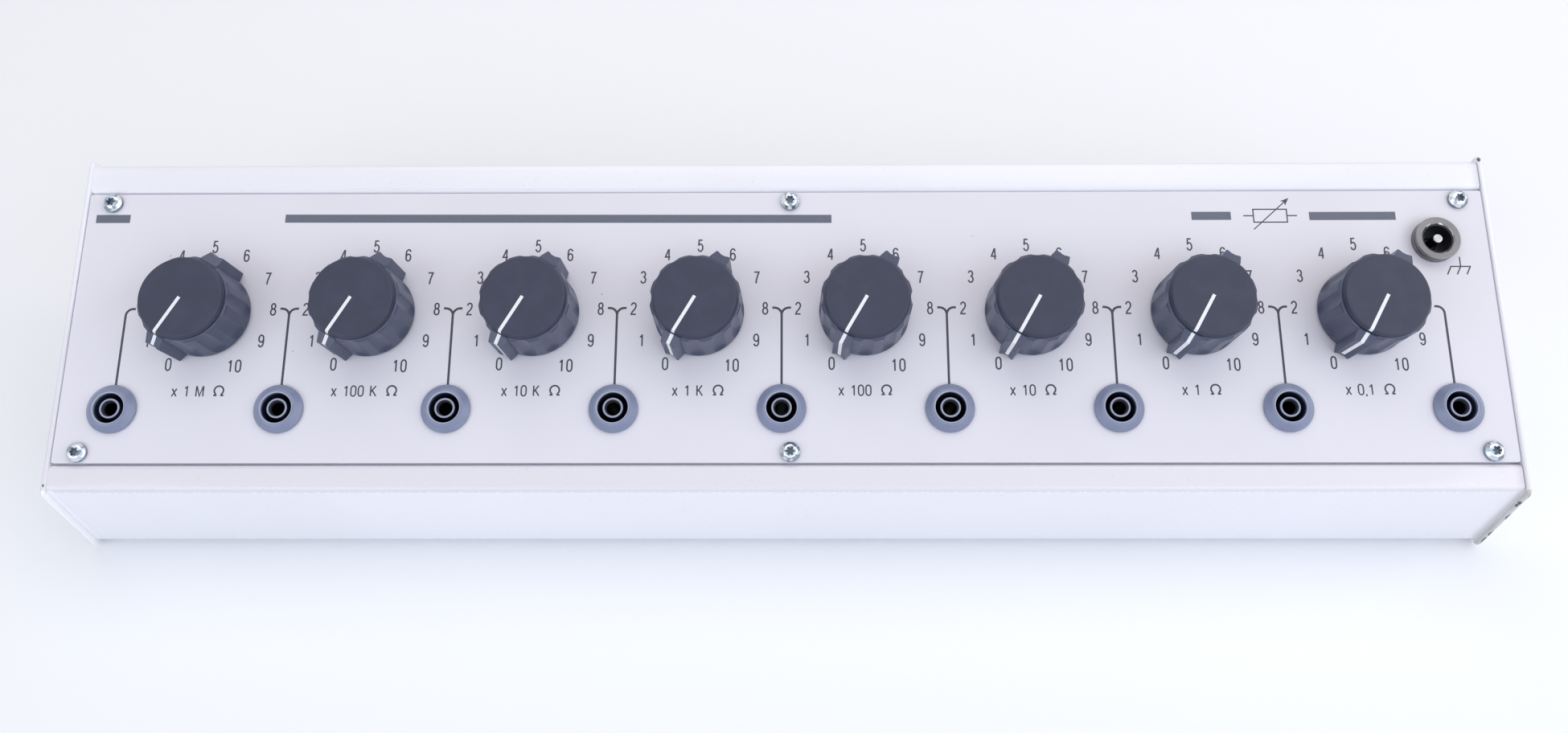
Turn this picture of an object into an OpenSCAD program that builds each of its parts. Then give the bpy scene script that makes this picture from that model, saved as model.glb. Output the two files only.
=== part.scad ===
// Decade resistance box: a sloping console with eight dials, nine 4 mm safety sockets
// and an earth terminal. X runs along the length, Y to the rear and Z up.
// The origin lies under the feet, in the middle of the length and the depth.

/* [Case] */
// Slope of the panel to the bench, in degrees
panel_slope = 20; // [16:1:28]
// Height of the front wall
front_h = 32; // [31:1:45]
// Thickness of the folded sheet
sheet_t = 1.2; // [1:0.1:1.5]
// Inside radius of the folds
fold_r = 0.6; // [0.4:0.1:1.2]
// Width of the sloping flange in front of the panel
front_flange = 7.7; // [6:0.1:10]
// Width of the sloping flange behind the panel
rear_flange = 10.3; // [6:0.1:12]
// Width of the ledges that carry the panel
ledge_w = 7; // [6:0.5:7.5]
// Thickness of the end plates
end_t = 1.4; // [1:0.1:2.5]
// How far the end plates stand proud of the sloping face
end_proud = 0.5; // [0.3:0.1:1.5]
// How far the end plates stand out in front, behind and below
end_lip = 1.4; // [0.3:0.1:1.6]
// Corner radius of the end plates
end_corner_r = 2; // [1:0.2:4]
// Radius of the rounded flange corners beside the end plates
flange_corner_r = 1.2; // [0.6:0.2:2]

/* [Feet] */
// Height of the feet
foot_h = 2; // [1.8:0.1:6]
// Diameter of the feet
foot_d = 12; // [8:1:18]
// Distance of the foot centres from the ends of the folded sheet
foot_end_inset = 22; // [12:1:60]
// Distance of the foot centres from the front and rear walls
foot_side_inset = 13; // [11:1:25]

/* [Panel] */
// Width of the panel, measured up the slope
panel_w = 82.5; // [82:0.1:92]
// Thickness of the panel
panel_t = 2; // [1.5:0.1:3]
// Gap between the panel and the case, all round
panel_gap = 0.3; // [0.2:0.1:0.6]
// Corner radius of the panel
panel_corner_r = 0.7; // [0.5:0.1:3]
// Spacing of neighbouring sockets, and of neighbouring dials
pitch = 48.5; // [46:0.5:54]
// Distance from the outer sockets to the end plates
end_margin = 16; // [13:0.5:20]
// Distance from the panel's front edge to the row of sockets
socket_row = 15.7; // [15.2:0.1:18]
// Distance from the row of sockets to the row of dials
dial_rise = 28.8; // [28:0.1:32]

/* [Screws] */
// Thread diameter of the panel screws
screw_d = 3; // [2.5:0.5:3]
// Head diameter of the panel screws
screw_head_d = 5.8; // [5:0.1:5.9]
// Head height of the panel screws
screw_head_h = 2.1; // [1.6:0.1:2.6]
// Length of the panel screws under the head
screw_l = 7; // [6:1:10]
// Distance of the screws from the panel's long edges
screw_inset = 3; // [3:0.1:3.4]
// Distance of the end screws from the panel's ends
screw_end_inset = 7.4; // [5:0.1:9]
// How far the middle screws stand to the right of the middle socket
screw_shift = 2.5; // [0:0.1:5]

/* [Sockets] */
// Diameter of the socket flange
flange_d = 14.3; // [13.2:0.1:16]
// Height of the socket rim over the panel
rim_h = 2.6; // [2:0.1:4]
// Height of the flange's outer edge
flange_edge_h = 0.9; // [0.6:0.1:1.4]
// Diameter of the socket barrel behind the panel
barrel_d = 11; // [10.8:0.1:12]
// Diameter of the annular well round the contact
well_d = 8.8; // [8.4:0.1:9]
// Depth of the well below the panel's face
well_depth = 22; // [19:0.5:24]
// Thickness of the barrel's floor
barrel_floor = 2; // [1.5:0.1:2.5]
// Outer diameter of the insulating sleeve round the contact
sleeve_d = 5.9; // [5.7:0.1:6.2]
// How far the sleeve's mouth lies below the rim
sleeve_sink = 0.7; // [0:0.1:2]
// Bore of the contact tube, which takes a 4 mm plug
contact_bore = 4; // [4:0.05:4.1]
// Wall of the contact tube
contact_wall = 0.5; // [0.4:0.05:0.6]

/* [Knobs] */
// Diameter of the knob's skirt
knob_d = 26.5; // [26:0.1:28]
// Gap between the knob and the panel
knob_gap = 0.8; // [0.5:0.1:1.2]
// Height of the knob's shoulder over the panel
knob_h = 15.5; // [15:0.1:17]
// How much the knob tapers in radius from skirt to shoulder
knob_taper = 0.25; // [0:0.05:0.6]
// Diameter of the cap at its foot
cap_d = 24.6; // [22:0.1:24.8]
// Height of the cap's face over the panel
cap_h = 17.2; // [16.6:0.1:19]
// Height of the dark joint between knob and cap
cap_joint = 0.3; // [0.3:0.05:0.6]
// Depth of the flutes
flute_depth = 0.6; // [0.2:0.05:0.8]
// Radius of the tool that cuts the flutes
flute_r = 4.6; // [4:0.1:6]
// Distance from the knob's foot to the middle of the flutes' round ends
flute_foot = 3.2; // [2:0.1:6]
// Reach of the ears from the dial's axis
ear_reach = 15.7; // [14.8:0.1:17]
// Width of the ears where they leave the knob
ear_root_w = 5.5; // [4.5:0.1:6.5]
// Width of the ears at their outer face
ear_tip_w = 4.3; // [3.4:0.1:4.4]
// Depth of the groove in the ears' outer face
ear_groove = 0.6; // [0.2:0.1:1]
// Width of the flat bottom of that groove
ear_groove_w = 1.2; // [0.8:0.1:2]
// Drop of the ears' sloping top from shoulder to outer face
ear_drop = 1.7; // [1:0.1:3]

/* [Switches] */
// Diameter of the dial shafts
shaft_d = 6; // [6:0.1:6.4]
// Running clearance in radius between shaft and bush
shaft_fit = 0.05; // [0.02:0.01:0.1]
// Diameter of the bush
bush_d = 10; // [9:0.5:10]
// Height of the bush over the panel
bush_h = 6; // [5:0.5:6.5]
// Diameter of the switch drum and of the wafer behind it
drum_d = 31; // [30:0.5:34]
// Depth of the drum
drum_l = 10; // [8:0.5:11]
// Distance from the drum to the wafer
wafer_gap = 8; // [7:0.5:8.5]
// Thickness of the wafer
wafer_t = 1.6; // [1.2:0.1:2]
// Radius of the circle of fixed contacts
contact_ring_r = 9.6; // [9:0.1:9.8]
// Radius of the circle on which the resistors are soldered
solder_ring_r = 18.2; // [18.1:0.1:20]
// Diameter of the resistor bodies
resistor_d = 2.3; // [1.8:0.1:2.5]
// Length of the resistor bodies
resistor_l = 6; // [4:0.2:6.4]

/* [Earth terminal] */
// Distance from the right end of the panel to the earth terminal
earth_inset = 16.1; // [13:0.1:18]
// Distance from the panel's rear edge to the earth terminal
earth_drop = 16.2; // [15.4:0.1:17]
// Diameter of the metal ring
earth_ring_d = 13.2; // [12.4:0.1:14]
// Height of the metal ring
earth_ring_h = 3.1; // [2.8:0.1:6]
// Diameter of the black well
earth_well_d = 9; // [8.2:0.1:9]
// Diameter of the centre pin
earth_pin_d = 2.8; // [2.4:0.1:3.2]

/* [Hidden] */
decades = 8;
sockets = decades + 1;
$fn = 64;
// Overlap of a cutting shape past the face that it cuts
cut = 1;
// Clearance in radius of threads and pressed joints
snug = 0.02;
// Clearance in radius of the panel's holes
hole_fit = 0.1;
// Clearance in radius of the panel's screw holes
screw_fit = 0.2;
// Extra radius of each rounding, with which its arc crosses both edges cleanly
round_ease = 0.001;

wrap_l = decades * pitch + 2 * end_margin;
panel_l = wrap_l - 2 * panel_gap;
slope_l = front_flange + panel_gap + panel_w + panel_gap + rear_flange;
depth = slope_l * cos(panel_slope);
rear_h = front_h + slope_l * sin(panel_slope);
panel_y = front_flange + panel_gap;
socket_y = panel_y + socket_row;
dial_y = socket_y + dial_rise;
earth_x = panel_l / 2 - earth_inset;
earth_y = panel_y + panel_w - earth_drop;
screw_rows = [panel_y + screw_inset, panel_y + panel_w - screw_inset];
screw_columns = [-panel_l / 2 + screw_end_inset, screw_shift, panel_l / 2 - screw_end_inset];
collar_wall = 0.8;
collar_h = 1.5;
// Bevel under the panel's long edges, which clears the ledges' inside radius
panel_relief = max(fold_r - panel_gap, 0) + 0.1;
// Extra size of the cutter at the flanges' corners, past both edges
corner_ease = 0.02;

// Dial positions lie 30 degrees apart, and position 0 points down and to the left
dial_step = 30;
dial_zero = 240;
taps = 11;
flute_count = 12;

// Levels under the panel's face
under_panel = -panel_t;
drum_back = under_panel - drum_l;
wafer_top = drum_back - wafer_gap;
wafer_back = wafer_top - wafer_t;
tag_t = 0.5;
tag_w = 2;
tag_back = wafer_back - tag_t;
tag_tip_r = solder_ring_r + 1.3;
post_r = 1.5;
post_ring_r = drum_d / 2 - post_r - 0.8;
rivet_r = 1.9;
rivet_h = 1;
contact_pad_r = 1.2;
contact_pad_h = 0.4;
wiper_gap = 0.4;
wiper_t = 0.8;
wiper_w = 2.4;
hub_r = 4.6;
hub_l = 4;
pivot_r = 2;
solder_pad_r = 1.1;
solder_pad_h = 1;
lead_r = 0.35;
key_r = 1.2;
key_ring_r = 9.6;
key_sink = 0.4;
key_h = panel_t - key_sink;

// Hexagon nuts, measured across the flats
switch_nut_af = 14;
switch_nut_h = 2.2;
socket_nut_af = 14;
socket_nut_h = 3;

// Knob's inside
nut_room_r = switch_nut_af / 2 / cos(30) + 1.6;
nut_room_h = switch_nut_h + 1.2;
bush_room_r = bush_d / 2 + 1.5;
bush_room_h = bush_h + 1;
cap_seat_r = cap_d / 2 - 2.6;
cap_seat_h = knob_h - 2;
cap_spigot_wall = 1.6;
cap_edge_r = 0.55;
// How much the cap's rim narrows in radius from foot to face
cap_flare = 0.6;
shoulder_r = 0.9;
skirt_edge_r = 0.3;
ear_edge_r = 0.3;
shaft_top = cap_seat_h - 0.6;

// Socket's levels
sleeve_top = rim_h - sleeve_sink;
sleeve_lip = 1.6;
sleeve_mouth_r = contact_bore / 2 + contact_wall - 0.1;
contact_top = sleeve_top - sleeve_lip;
barrel_back = -well_depth - barrel_floor;
contact_end = 1.5;
contact_shoulder_r = contact_bore / 2 + contact_wall + 0.9;
contact_shoulder_h = 1;
tail_r = 1.2;
tail_l = 4.5;
tail_end = barrel_back - contact_shoulder_h - tail_l;
rim_round_r = 0.35;
rim_top_w = 0.95;
rim_crown_r = 0.8;
flange_foot_r = 0.2;
barrel_edge_r = 0.3;
sleeve_edge = 0.2;
sleeve_mouth_edge = 0.1;
// Overlap in radius of the barrel's floor and its wall
barrel_joint = 0.1;

// Earth terminal's levels
earth_barrel_r = 5.5;
earth_back = -11;
earth_collar_h = 1.4;
earth_groove_h = 0.4;
earth_groove_depth = 0.5;
earth_bevel = 0.35;
earth_lining = 0.35;
earth_floor = -2.5;
earth_pin_top = earth_ring_h - 0.1;
earth_pin_edge = 0.5;
earth_root_r = earth_pin_d / 2 + 0.2;
earth_root_top = earth_floor + 0.1;
earth_floor_bevel = 0.5;

// Link wires
wire_r = 0.8;
wire_bend_r = 0.9;
wire_drop = 2.2;
wire_level = tail_end - wire_drop;

function unit(v) = v / norm(v);
function left_of(v) = [-v[1], v[0]];
// Point q of the path p, q, s, moved to the left of the path by d on both edges
function moved(p, q, s, d) =
    let (m = left_of(unit(q - p)), n = left_of(unit(s - q)))
    q + (m + n) * d / (1 + m * n);
// The open path, moved to its left by d
function beside(path, d) =
    let (last = len(path) - 1)
    [for (i = [0:last])
        i == 0 ? path[0] + left_of(unit(path[1] - path[0])) * d
        : i == last ? path[last] + left_of(unit(path[last] - path[last - 1])) * d
        : moved(path[i - 1], path[i], path[i + 1], d)];
// The closed outline, grown outwards by d
function grown(outline, d) =
    let (n = len(outline))
    [for (i = [0:n - 1]) moved(outline[(i + n - 1) % n], outline[i], outline[(i + 1) % n], -d)];
function turned(list) = [for (i = [len(list) - 1:-1:0]) list[i]];
function turn(p, q, s) = (q[0] - p[0]) * (s[1] - q[1]) - (q[1] - p[1]) * (s[0] - q[0]);

// What lies between the sharp corner q and its rounding
module corner(p, q, s, r) {
    a = unit(p - q);
    b = unit(s - q);
    half = acos(a * b) / 2;
    middle = unit(a + b);
    centre = q + middle * r / sin(half);
    reach = r / tan(half);
    difference() {
        polygon([q + a * reach, q - middle * r / 2, q + b * reach, centre]);
        translate(centre) circle(r + round_ease);
    }
}

// A closed outline, counter-clockwise, with a radius for each of its corners
module rounded(outline, radii) {
    n = len(outline);
    difference() {
        union() {
            polygon(outline);
            for (i = [0:n - 1]) {
                p = outline[(i + n - 1) % n];
                q = outline[i];
                s = outline[(i + 1) % n];
                if (radii[i] > 0 && turn(p, q, s) < 0) corner(p, q, s, radii[i]);
            }
        }
        for (i = [0:n - 1]) {
            p = outline[(i + n - 1) % n];
            q = outline[i];
            s = outline[(i + 1) % n];
            if (radii[i] > 0 && turn(p, q, s) > 0) corner(p, q, s, radii[i]);
        }
    }
}

// Bent sheet of thickness t on the left of the path, with inside radius r at each fold
module bent_sheet(path, t, r) {
    n = len(path);
    inner = beside(path, t);
    turns = [for (i = [1:n - 2]) turn(path[i - 1], path[i], path[i + 1])];
    outer_radii = [for (i = [0:n - 1]) i == 0 || i == n - 1 ? 0 : turns[i - 1] > 0 ? r + t : r];
    inner_radii = [for (i = [0:n - 1]) i == 0 || i == n - 1 ? 0 : turns[i - 1] > 0 ? r : r + t];
    rounded(concat(path, turned(inner)), concat(outer_radii, turned(inner_radii)));
}

module box_outline(x, y, r) {
    rounded([[-x / 2, 0], [x / 2, 0], [x / 2, y], [-x / 2, y]], [r, r, r, r]);
}

module hexagon(af, h) {
    cylinder(d = af / cos(30), h = h, $fn = 6);
}

// Frame of the panel: its face is z = 0, and y runs up the slope from the front fold
module on_panel() {
    translate([0, -depth / 2, foot_h + front_h]) rotate([panel_slope, 0, 0]) children();
}

module at_socket(i) {
    on_panel() translate([(i - 1 - decades / 2) * pitch, socket_y, 0]) children();
}

module at_dial(i) {
    on_panel() translate([(i - (decades + 1) / 2) * pitch, dial_y, 0]) children();
}

module at_earth() {
    on_panel() translate([earth_x, earth_y, 0]) children();
}

module at_screws() {
    on_panel() for (x = screw_columns) for (y = screw_rows) translate([x, y, 0]) children();
}

// Extrusion along X of an outline in the plane of Y and Z, centred on x
module along_x(x, l) {
    translate([x, 0, 0]) rotate([90, 0, 90]) linear_extrude(height = l, center = true) children();
}

// Points of the case's cross-section, in Y and Z
slope_dir = [cos(panel_slope), sin(panel_slope)];
face_dir = [-sin(panel_slope), cos(panel_slope)];
front_foot = [-depth / 2, foot_h];
front_fold = [-depth / 2, foot_h + front_h];
rear_foot = [depth / 2, foot_h];
rear_fold = [depth / 2, foot_h + rear_h];

module case_wrap() {
    front_step = front_fold + slope_dir * front_flange;
    front_seat = front_step - face_dir * panel_t;
    rear_step = rear_fold - slope_dir * rear_flange;
    rear_seat = rear_step - face_dir * panel_t;
    path = [front_seat + slope_dir * ledge_w, front_seat, front_step, front_fold, front_foot,
        rear_foot, rear_fold, rear_step, rear_seat, rear_seat - slope_dir * ledge_w];
    color("whitesmoke") difference() {
        union() {
            along_x(0, wrap_l) bent_sheet(path, sheet_t, fold_r);
            at_screws() translate([0, 0, under_panel - sheet_t - collar_h])
                cylinder(r = screw_d / 2 + collar_wall, h = collar_h + sheet_t / 2);
        }
        at_screws() translate([0, 0, under_panel - sheet_t - collar_h - cut])
            cylinder(r = screw_d / 2 + snug, h = collar_h + sheet_t + 2 * cut);
        on_panel() for (side = [-1, 1]) {
            flange_corner(side, front_flange, -1);
            flange_corner(side, slope_l - rear_flange, 1);
        }
    }
}

// Cutter that rounds the inner corner of a flange beside an end plate
module flange_corner(side, y, up) {
    r = flange_corner_r;
    x = side * wrap_l / 2;
    translate([0, 0, under_panel]) linear_extrude(height = panel_t + cut) difference() {
        translate([x - side * r / 2, y + up * r / 2]) square(r + corner_ease, center = true);
        translate([x - side * r, y + up * r]) circle(r);
    }
}

// Flat plate with its upper edge along the slope, and with an equal lip on its other edges
module end_plate(side) {
    lip_y = depth / 2 + end_lip;
    lip_z = foot_h - end_lip;
    slope_z = foot_h + front_h + end_proud / cos(panel_slope);
    lip_rise = end_lip * tan(panel_slope);
    rise = depth * tan(panel_slope);
    outline = [
        [-lip_y, lip_z], [lip_y, lip_z],
        [lip_y, slope_z + rise + lip_rise], [-lip_y, slope_z - lip_rise]];
    r = end_corner_r;
    color("white") along_x(side * (wrap_l + end_t) / 2, end_t) rounded(outline, [r, r, r, r]);
}

module left_end_plate() {
    end_plate(-1);
}

module right_end_plate() {
    end_plate(1);
}

module front_panel() {
    color("whitesmoke") difference() {
        on_panel() translate([0, panel_y, under_panel]) linear_extrude(height = panel_t)
            box_outline(panel_l, panel_w, panel_corner_r);
        for (i = [1:sockets]) at_socket(i) panel_hole(barrel_d / 2 + hole_fit);
        for (i = [1:decades]) at_dial(i) {
            panel_hole(bush_d / 2 + hole_fit);
            translate([0, key_ring_r, 0]) panel_hole(key_r + hole_fit);
        }
        at_earth() panel_hole(earth_barrel_r + hole_fit);
        at_screws() panel_hole(screw_d / 2 + screw_fit);
        on_panel() for (y = [panel_y, panel_y + panel_w]) translate([0, y, under_panel])
            rotate([45, 0, 0]) cube([wrap_l, panel_relief * sqrt(2), panel_relief * sqrt(2)], center = true);
    }
}

module panel_hole(r) {
    translate([0, 0, under_panel - cut]) cylinder(r = r, h = panel_t + 2 * cut);
}

module panel_screws() {
    color("silver") at_screws() panel_screw();
}

module panel_screw() {
    r = screw_head_d / 2;
    lobe_r = screw_d * 0.12;
    lobe_ring_r = screw_d * 0.33;
    difference() {
        union() {
            translate([0, 0, -screw_l]) cylinder(d = screw_d, h = screw_l + screw_head_h / 2);
            rotate_extrude() rounded(
                [[0, 0], [r, 0], [r, screw_head_h * 0.45], [r * 0.62, screw_head_h], [0, screw_head_h]],
                [0, 0.15, 0.6, 1, 0]);
        }
        translate([0, 0, screw_head_h * 0.45]) {
            cylinder(r = lobe_ring_r, h = screw_head_h);
            for (a = [0:60:300]) rotate(a) translate([lobe_ring_r, 0, 0])
                cylinder(r = lobe_r, h = screw_head_h, $fn = 24);
        }
    }
}

module rubber_feet() {
    r = foot_d / 2;
    x = wrap_l / 2 - foot_end_inset;
    y = depth / 2 - foot_side_inset;
    color("dimgray") for (sx = [-x, x]) for (sy = [-y, y]) translate([sx, sy, 0])
        rotate_extrude() rounded([[0, 0], [r - 0.5, 0], [r, foot_h], [0, foot_h]], [0, 0.4, 0, 0]);
}

module mounting_nuts() {
    color("silver") {
        for (i = [1:decades]) at_dial(i) nut(0, switch_nut_af, switch_nut_h, bush_d / 2);
        for (i = [1:sockets]) at_socket(i)
            nut(under_panel - socket_nut_h, socket_nut_af, socket_nut_h, barrel_d / 2);
        at_earth() nut(under_panel - socket_nut_h, socket_nut_af, socket_nut_h, earth_barrel_r);
    }
}

module nut(z, af, h, r) {
    translate([0, 0, z]) difference() {
        hexagon(af, h);
        translate([0, 0, -cut]) cylinder(r = r + snug, h = h + 2 * cut);
    }
}

// Moulded housing: convex flange, barrel, floor, and the sleeve round the contact
module socket(i) {
    core_r = contact_bore / 2 + contact_wall + snug;
    floor_r = well_d / 2 + barrel_joint;
    color("lightslategray") at_socket(i) {
        rotate_extrude() rounded(
            [[well_d / 2, barrel_back], [barrel_d / 2, barrel_back], [barrel_d / 2, 0], [flange_d / 2, 0],
            [flange_d / 2, flange_edge_h], [well_d / 2 + rim_top_w, rim_h], [well_d / 2, rim_h]],
            [0, barrel_edge_r, 0, flange_foot_r, rim_round_r, rim_crown_r, rim_round_r]);
        rotate_extrude() polygon(
            [[core_r, barrel_back], [floor_r, barrel_back], [floor_r, -well_depth],
            [sleeve_d / 2, -well_depth], [sleeve_d / 2, sleeve_top - sleeve_edge],
            [sleeve_d / 2 - sleeve_edge, sleeve_top],
            [sleeve_mouth_r + sleeve_mouth_edge, sleeve_top],
            [sleeve_mouth_r, sleeve_top - sleeve_mouth_edge],
            [sleeve_mouth_r, contact_top], [core_r, contact_top]]);
    }
}

// Turned tubes with closed ends and soldering tails, and the stepped pin of the earth terminal
module contacts() {
    tube_r = contact_bore / 2 + contact_wall;
    color("goldenrod") {
        for (i = [1:sockets]) at_socket(i) difference() {
            union() {
                translate([0, 0, barrel_back - cut / 2])
                    cylinder(r = tube_r, h = contact_top - barrel_back + cut / 2);
                translate([0, 0, barrel_back - contact_shoulder_h])
                    cylinder(r = contact_shoulder_r, h = contact_shoulder_h);
                translate([0, 0, tail_end]) cylinder(r = tail_r, h = tail_l + contact_shoulder_h / 2);
            }
            translate([0, 0, barrel_back + contact_end])
                cylinder(d = contact_bore, h = contact_top - barrel_back);
        }
        at_earth() rotate_extrude() rounded(
            [[0, earth_back - tail_l], [earth_root_r, earth_back - tail_l], [earth_root_r, earth_root_top],
            [earth_pin_d / 2, earth_root_top], [earth_pin_d / 2, earth_pin_top], [0, earth_pin_top]],
            [0, 0, 0, 0, earth_pin_edge, 0]);
    }
}

module earth_shell() {
    well_r = earth_well_d / 2;
    ring_r = earth_ring_d / 2;
    groove_r = ring_r - earth_groove_depth;
    groove_top = earth_collar_h + earth_groove_h;
    color("silver") at_earth() rotate_extrude() rounded(
        [[well_r, earth_back], [earth_barrel_r, earth_back], [earth_barrel_r, 0], [ring_r, 0],
        [ring_r, earth_collar_h], [groove_r, earth_collar_h], [groove_r, groove_top], [ring_r, groove_top],
        [ring_r, earth_ring_h], [well_r + earth_bevel, earth_ring_h], [well_r, earth_ring_h - earth_bevel]],
        [0, 0, 0, 0.15, 0.25, 0, 0, 0.15, 0.3, 0.12, 0]);
}

module earth_insulator() {
    outer_r = earth_well_d / 2 - snug;
    inner_r = outer_r - earth_lining;
    lining_top = earth_ring_h - earth_bevel - 0.2;
    root_r = earth_root_r + snug;
    color("black") at_earth() rotate_extrude() rounded(
        [[root_r, earth_back], [outer_r, earth_back], [outer_r, lining_top], [inner_r, lining_top],
        [inner_r, earth_floor], [root_r + earth_floor_bevel, earth_floor],
        [root_r, earth_floor - earth_floor_bevel]],
        [0, 0, 0.1, 0.1, 0, 0, 0]);
}

// Static half of a rotary switch: bush, drum, posts, wafer and its twelve tags
module switch_body(i) {
    drum_r = drum_d / 2;
    color("tan") at_dial(i) {
        difference() {
            union() {
                rotate_extrude() rounded(
                    [[0, drum_back], [drum_r, drum_back], [drum_r, under_panel], [bush_d / 2, under_panel],
                    [bush_d / 2, bush_h], [0, bush_h]],
                    [0, 1, 1, 0, 0.5, 0]);
                translate([0, key_ring_r, under_panel - cut]) cylinder(r = key_r, h = key_h + cut);
            }
            translate([0, 0, drum_back - cut])
                cylinder(r = shaft_d / 2 + shaft_fit, h = bush_h - drum_back + 2 * cut);
        }
        for (a = [15, 195]) rotate(a) translate([post_ring_r, 0, 0]) {
            translate([0, 0, wafer_back - cut / 2]) cylinder(r = post_r, h = wafer_gap + wafer_t + cut);
            translate([0, 0, wafer_back - rivet_h]) cylinder(r = rivet_r, h = rivet_h);
        }
        translate([0, 0, wafer_back]) difference() {
            cylinder(r = drum_r, h = wafer_t);
            translate([0, 0, -cut]) cylinder(r = pivot_r + 0.4, h = wafer_t + 2 * cut);
        }
        for (k = [0:taps]) rotate(dial_zero - k * dial_step) switch_tag();
    }
}

// Fixed contact on the wafer with its riveted tag behind it
module switch_tag() {
    translate([contact_ring_r, 0, tag_back])
        cylinder(r = contact_pad_r, h = wafer_top + contact_pad_h - tag_back, $fn = 32);
    translate([contact_ring_r, -tag_w / 2, tag_back]) cube([tag_tip_r - contact_ring_r, tag_w, tag_t]);
}

// Ten equal resistors in a chain, soldered on the first eleven tags
module resistor_ring(i) {
    lead_z = tag_back - solder_pad_h / 2;
    chord = 2 * solder_ring_r * sin(dial_step / 2);
    color("skyblue") at_dial(i) {
        for (k = [0:taps - 1]) rotate(dial_zero - k * dial_step)
            translate([solder_ring_r, 0, tag_back - solder_pad_h])
                cylinder(r = solder_pad_r, h = solder_pad_h, $fn = 32);
        for (k = [0:taps - 2]) rotate(dial_zero - (k + 0.5) * dial_step)
            translate([solder_ring_r * cos(dial_step / 2), 0, lead_z]) rotate([90, 0, 0]) {
                cylinder(r = lead_r, h = chord, center = true, $fn = 24);
                resistor_body();
            }
    }
}

module resistor_body() {
    waist_r = resistor_d / 2 - 0.2;
    bead = resistor_l * 0.2;
    cylinder(r = waist_r, h = resistor_l - bead, center = true, $fn = 32);
    for (side = [-1, 1]) translate([0, 0, side * (resistor_l - bead) / 2])
        cylinder(d = resistor_d, h = bead, center = true, $fn = 32);
}

// Shaft, hub and wiper, which turn with the knob
module switch_rotor(i) {
    wiper_z = wafer_top + contact_pad_h + wiper_gap;
    color("gray") at_dial(i) rotate(dial_zero) {
        translate([0, 0, wiper_z]) {
            cylinder(d = shaft_d, h = shaft_top - wiper_z);
            cylinder(r = hub_r, h = hub_l);
            translate([0, -wiper_w / 2, 0]) cube([contact_ring_r, wiper_w, wiper_t]);
            translate([contact_ring_r, 0, 0]) cylinder(d = wiper_w, h = wiper_t);
        }
        translate([0, 0, wafer_back - cut]) cylinder(r = pivot_r, h = wiper_z - wafer_back + 2 * cut);
    }
}

// Fluted knob with two ears, open below for the nut and the bush
module knob(i) {
    skirt_r = knob_d / 2;
    top_r = skirt_r - knob_taper;
    color("darkslategray") at_dial(i) rotate(dial_zero) difference() {
        union() {
            difference() {
                rotate_extrude() rounded(
                    [[0, knob_gap], [skirt_r, knob_gap], [top_r, knob_h], [0, knob_h]],
                    [0, skirt_edge_r, shoulder_r, 0]);
                knob_flutes(top_r);
            }
            for (a = [0, 180]) rotate(a) knob_ear();
        }
        translate([0, 0, knob_gap - cut]) {
            cylinder(r = nut_room_r, h = nut_room_h - knob_gap + cut);
            cylinder(r = bush_room_r, h = bush_room_h - knob_gap + cut);
            cylinder(d = shaft_d + 2 * snug, h = knob_h);
        }
        translate([0, 0, cap_seat_h]) cylinder(r = cap_seat_r + snug, h = knob_h);
    }
}

// Flutes with round ends above the skirt, none where the ears stand
module knob_flutes(top_r) {
    axis_r = top_r - flute_depth + flute_r;
    for (k = [0:flute_count - 1]) if (k % (flute_count / 2) != 0)
        rotate(k * 360 / flute_count) translate([axis_r, 0, knob_gap + flute_foot]) {
            cylinder(r = flute_r, h = knob_h);
            sphere(r = flute_r);
        }
}

// Ear with a grooved outer face and a sloping top
module knob_ear() {
    root_r = cap_seat_r + 1;
    tip_z = knob_h - ear_drop;
    intersection() {
        translate([0, 0, knob_gap]) linear_extrude(height = knob_h) rounded(
            [[root_r, -ear_root_w / 2], [knob_d / 2 - 0.3, -ear_root_w / 2], [ear_reach, -ear_tip_w / 2],
            [ear_reach - ear_groove, -ear_groove_w / 2], [ear_reach - ear_groove, ear_groove_w / 2],
            [ear_reach, ear_tip_w / 2], [knob_d / 2 - 0.3, ear_root_w / 2], [root_r, ear_root_w / 2]],
            [0, 0, ear_edge_r, 0, 0, ear_edge_r, 0, 0]);
        rotate([90, 0, 0]) linear_extrude(height = ear_root_w + cut, center = true) rounded(
            [[root_r - 1, knob_gap], [ear_reach + 0.1, knob_gap], [ear_reach - 0.1, tip_z],
            [cap_d / 2 + 0.2, knob_h], [root_r - 1, knob_h]],
            [0, 0.2, 0.5, 0, 0]);
    }
}

// Flat cap with a rounded rim and a ring that snaps into the knob
module knob_cap(i) {
    spigot_r = cap_seat_r;
    color("dimgray") at_dial(i) difference() {
        rotate_extrude() rounded(
            [[0, cap_seat_h], [spigot_r, cap_seat_h], [spigot_r, knob_h + cap_joint],
            [cap_d / 2, knob_h + cap_joint], [cap_d / 2 - cap_flare, cap_h], [0, cap_h]],
            [0, 0, 0, 0.15, cap_edge_r, 0]);
        translate([0, 0, cap_seat_h - cut])
            cylinder(r = spigot_r - cap_spigot_wall, h = knob_h - cap_seat_h + cut);
    }
}

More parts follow.
